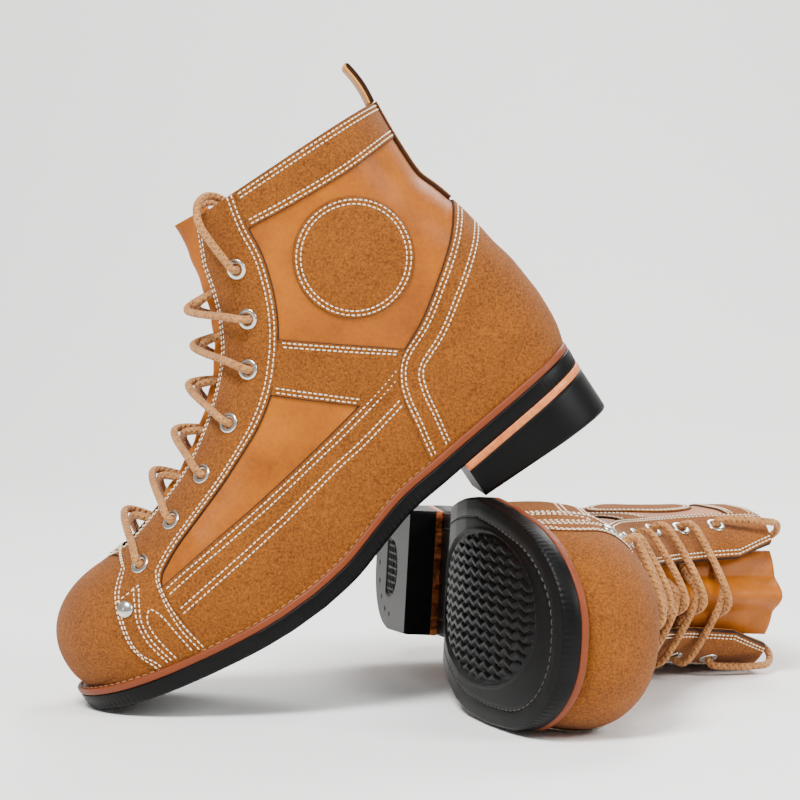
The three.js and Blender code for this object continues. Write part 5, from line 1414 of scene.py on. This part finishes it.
    def heel_outline(self, inset: float, count: int = 160) -> Array:
        """Points (x, y) round the heel: the sole's edge at the back, straight at the breast."""
        t = (1 - np.cos(np.linspace(0, np.pi / 2, 70)))
        x = SOLE_BACK + inset - 0.85 + (HEEL_BREAST - SOLE_BACK - inset + 0.85) * t
        left, right = (np.stack([x, sole_edge(x, side, inset)], 1) for side in (1.0, -1.0))
        breast = np.linspace(left[-1], right[-1], 30)[1:-1]
        loop = np.concatenate([left, breast, right[::-1][:-1]])
        return resample(np.concatenate([loop, loop[:1]]), count + 1)[:-1]

    def heel(self) -> None:
        """The heel: an orange lift over a black block with a D-shaped grid recess below."""
        centre = np.array([34.0, 0.0])

        def layer(steps: Sequence) -> Array:
            """Rings of the heel from (inset, height, hangs): hanging heights count from the sole."""
            rings = []
            for inset, height, hangs in steps:
                flat = self.heel_outline(inset)
                z = sole_z(flat[:, 0]) + height if hangs else np.full(len(flat), height)
                rings.append(np.stack([flat[:, 0], flat[:, 1], z], 1))
            return np.stack(rings)

        lift = layer([(3, 0.2, True), (0.5, 0.15, True), (0.3, -0.2, True), (0.2, -1.8, True),
                      (0.3, -3.5, True),
                      (0.5, -3.75, True), (3, -3.8, True)])
        make("heel_lift_edge", Shape().add_grid(lift, round_u=True, round_v=True), self.where, LIFT, "boot",
             ["heel_lift"])
        side = layer([(3, -3.7, True), (0.7, -3.8, True), (0.45, -4.1, True), (0.45, -7.0, True),
                      (0.5, 2.2, False),
                      (0.7, 0.7, False), (1.3, 0.12, False), (2.0, 0.0, False)])
        loop = self.heel_outline(2.0)
        share = np.linspace(0, 1, 60)[:, None, None]
        flat = loop[None] * (1 - share) + centre * share
        x, y = flat[..., 0], flat[..., 1]
        dee = np.maximum(np.hypot((x - 30) / 17, y / 17) - 1, (22 - x) / 17)
        recess = 1.2 * smooth(0.05, -0.03, dee)
        grid = 0.9 * smooth(0.30, 0.42, np.maximum(np.abs((x / HEEL_GRID) % 1 - 0.5),
                                                   np.abs((y / HEEL_GRID) % 1 - 0.5)))
        z = recess - grid * (dee < -0.1)
        for k in range(9):
            angle = math.pi * (0.5 + k / 8)
            nail_x, nail_y = 34 + 30 * math.cos(angle), 27 * math.sin(angle)
            z = z + 0.5 * smooth(1.6, 1.2, np.hypot(x - nail_x, y - nail_y))
        under = np.stack([x, y, z], -1)
        shape = Shape().add_grid(side, round_v=True).add_grid(under, round_v=True)
        make("heel_block_rubber", shape, self.where, RUBBER, "boot", ["heel_block"])


# ---- Studio -------------------------------------------------------------------------------------
@dataclass
class Studio:
    """Floor, lights and camera."""

    distance: float = 1.25
    focal_pixels: float = 2312.8
    elevation: float = 2.12
    azimuth: float = -0.84
    roll: float = -0.18
    target: tuple = (-0.0179, 0.0, 0.1586)

    def build(self) -> None:
        """Makes the floor, the lights and the camera."""
        self.floor()
        self.lights()
        self.camera()

    def floor(self) -> None:
        """A pale sheet that curves up behind: flat, then a quarter circle, then upright."""
        run = np.linspace(-2.5, 1.6, 42)
        angle = np.linspace(0, np.pi / 2, 16)[1:]
        profile = joined(np.stack([run, 0 * run], 1),
                         np.stack([1.6 + 0.8 * np.sin(angle), 0.8 - 0.8 * np.cos(angle)], 1),
                         [[2.4, 3.0]])
        x = np.linspace(-4, 4, 9)
        grid = np.stack([x[None] + 0 * profile[:, :1], profile[:, :1] + 0 * x, profile[:, 1:] + 0 * x], -1)
        mesh = bpy.data.meshes.new("floor")
        mesh.from_pydata(grid.reshape(-1, 3), [], grid_faces(*grid.shape[:2]).tolist())
        mesh.polygons.foreach_set("use_smooth", np.ones(len(mesh.polygons), bool))
        sheet = Finish("studio_paper", "#fbfaf8", "#fdfcfa", roughness=0.9, grain_mm=3, bump_mm=0.0,
                       mottle_mm=400)
        mesh.materials.append(sheet.material())
        piece = bpy.data.objects.new("floor", mesh)
        bpy.context.scene.collection.objects.link(piece)

    def lights(self) -> None:
        """A big soft light above left, a fill from the right, and an even pale surround."""
        world = bpy.data.worlds.new("studio")
        bpy.context.scene.world = world
        world.use_nodes = True
        world.node_tree.nodes["Background"].inputs["Color"].default_value = linear("#f4f4f4")
        world.node_tree.nodes["Background"].inputs["Strength"].default_value = 0.55
        for name, place, size, power in (("key", (-0.7, -1.3, 2.1), 0.8, 110.0),
                                         ("fill", (1.7, -1.0, 1.3), 0.8, 40.0),
                                         ("rim", (0.6, 1.6, 1.8), 1.0, 50.0)):
            data = bpy.data.lights.new(name, "AREA")
            data.size, data.energy = size, power
            light = bpy.data.objects.new(name, data)
            light.location = place
            light.rotation_euler = (Vector((0, 0, 0.15)) - Vector(place)).to_track_quat("-Z", "Y").to_euler()
            bpy.context.scene.collection.objects.link(light)

    def camera(self) -> None:
        """The camera, from its distance, angles and focal length in pixels of an 800-pixel frame."""
        e, a, r = (math.radians(v) for v in (self.elevation, self.azimuth, self.roll))
        ahead = Vector((-math.sin(a) * math.cos(e), math.cos(a) * math.cos(e), -math.sin(e)))
        right = Vector((math.cos(a), math.sin(a), 0))
        up = right.cross(ahead)
        turned_right = right * math.cos(r) + up * math.sin(r)
        turned_up = up * math.cos(r) - right * math.sin(r)
        data = bpy.data.cameras.new("camera")
        data.sensor_width = 36.0
        data.lens = 36.0 * self.focal_pixels / 800
        data.clip_start, data.clip_end = 0.05, 20
        camera = bpy.data.objects.new("camera", data)
        place = Vector(self.target) - ahead * self.distance
        camera.matrix_world = Matrix((
            (turned_right.x, turned_up.x, -ahead.x, place.x),
            (turned_right.y, turned_up.y, -ahead.y, place.y),
            (turned_right.z, turned_up.z, -ahead.z, place.z),
            (0, 0, 0, 1),
        ))
        bpy.context.scene.collection.objects.link(camera)
        bpy.context.scene.camera = camera


def main() -> None:
    """Builds the studio and both boots."""
    logging.basicConfig(level=logging.INFO, format="%(message)s")
    Studio().build()
    skin = Skin()
    for boot in Boot:
        where = BootFrame(boot)
        Fastenings(skin, where).build()
        Upper(skin, where).build()
        Sole(where).build()


if __name__ == "__main__":
    main()
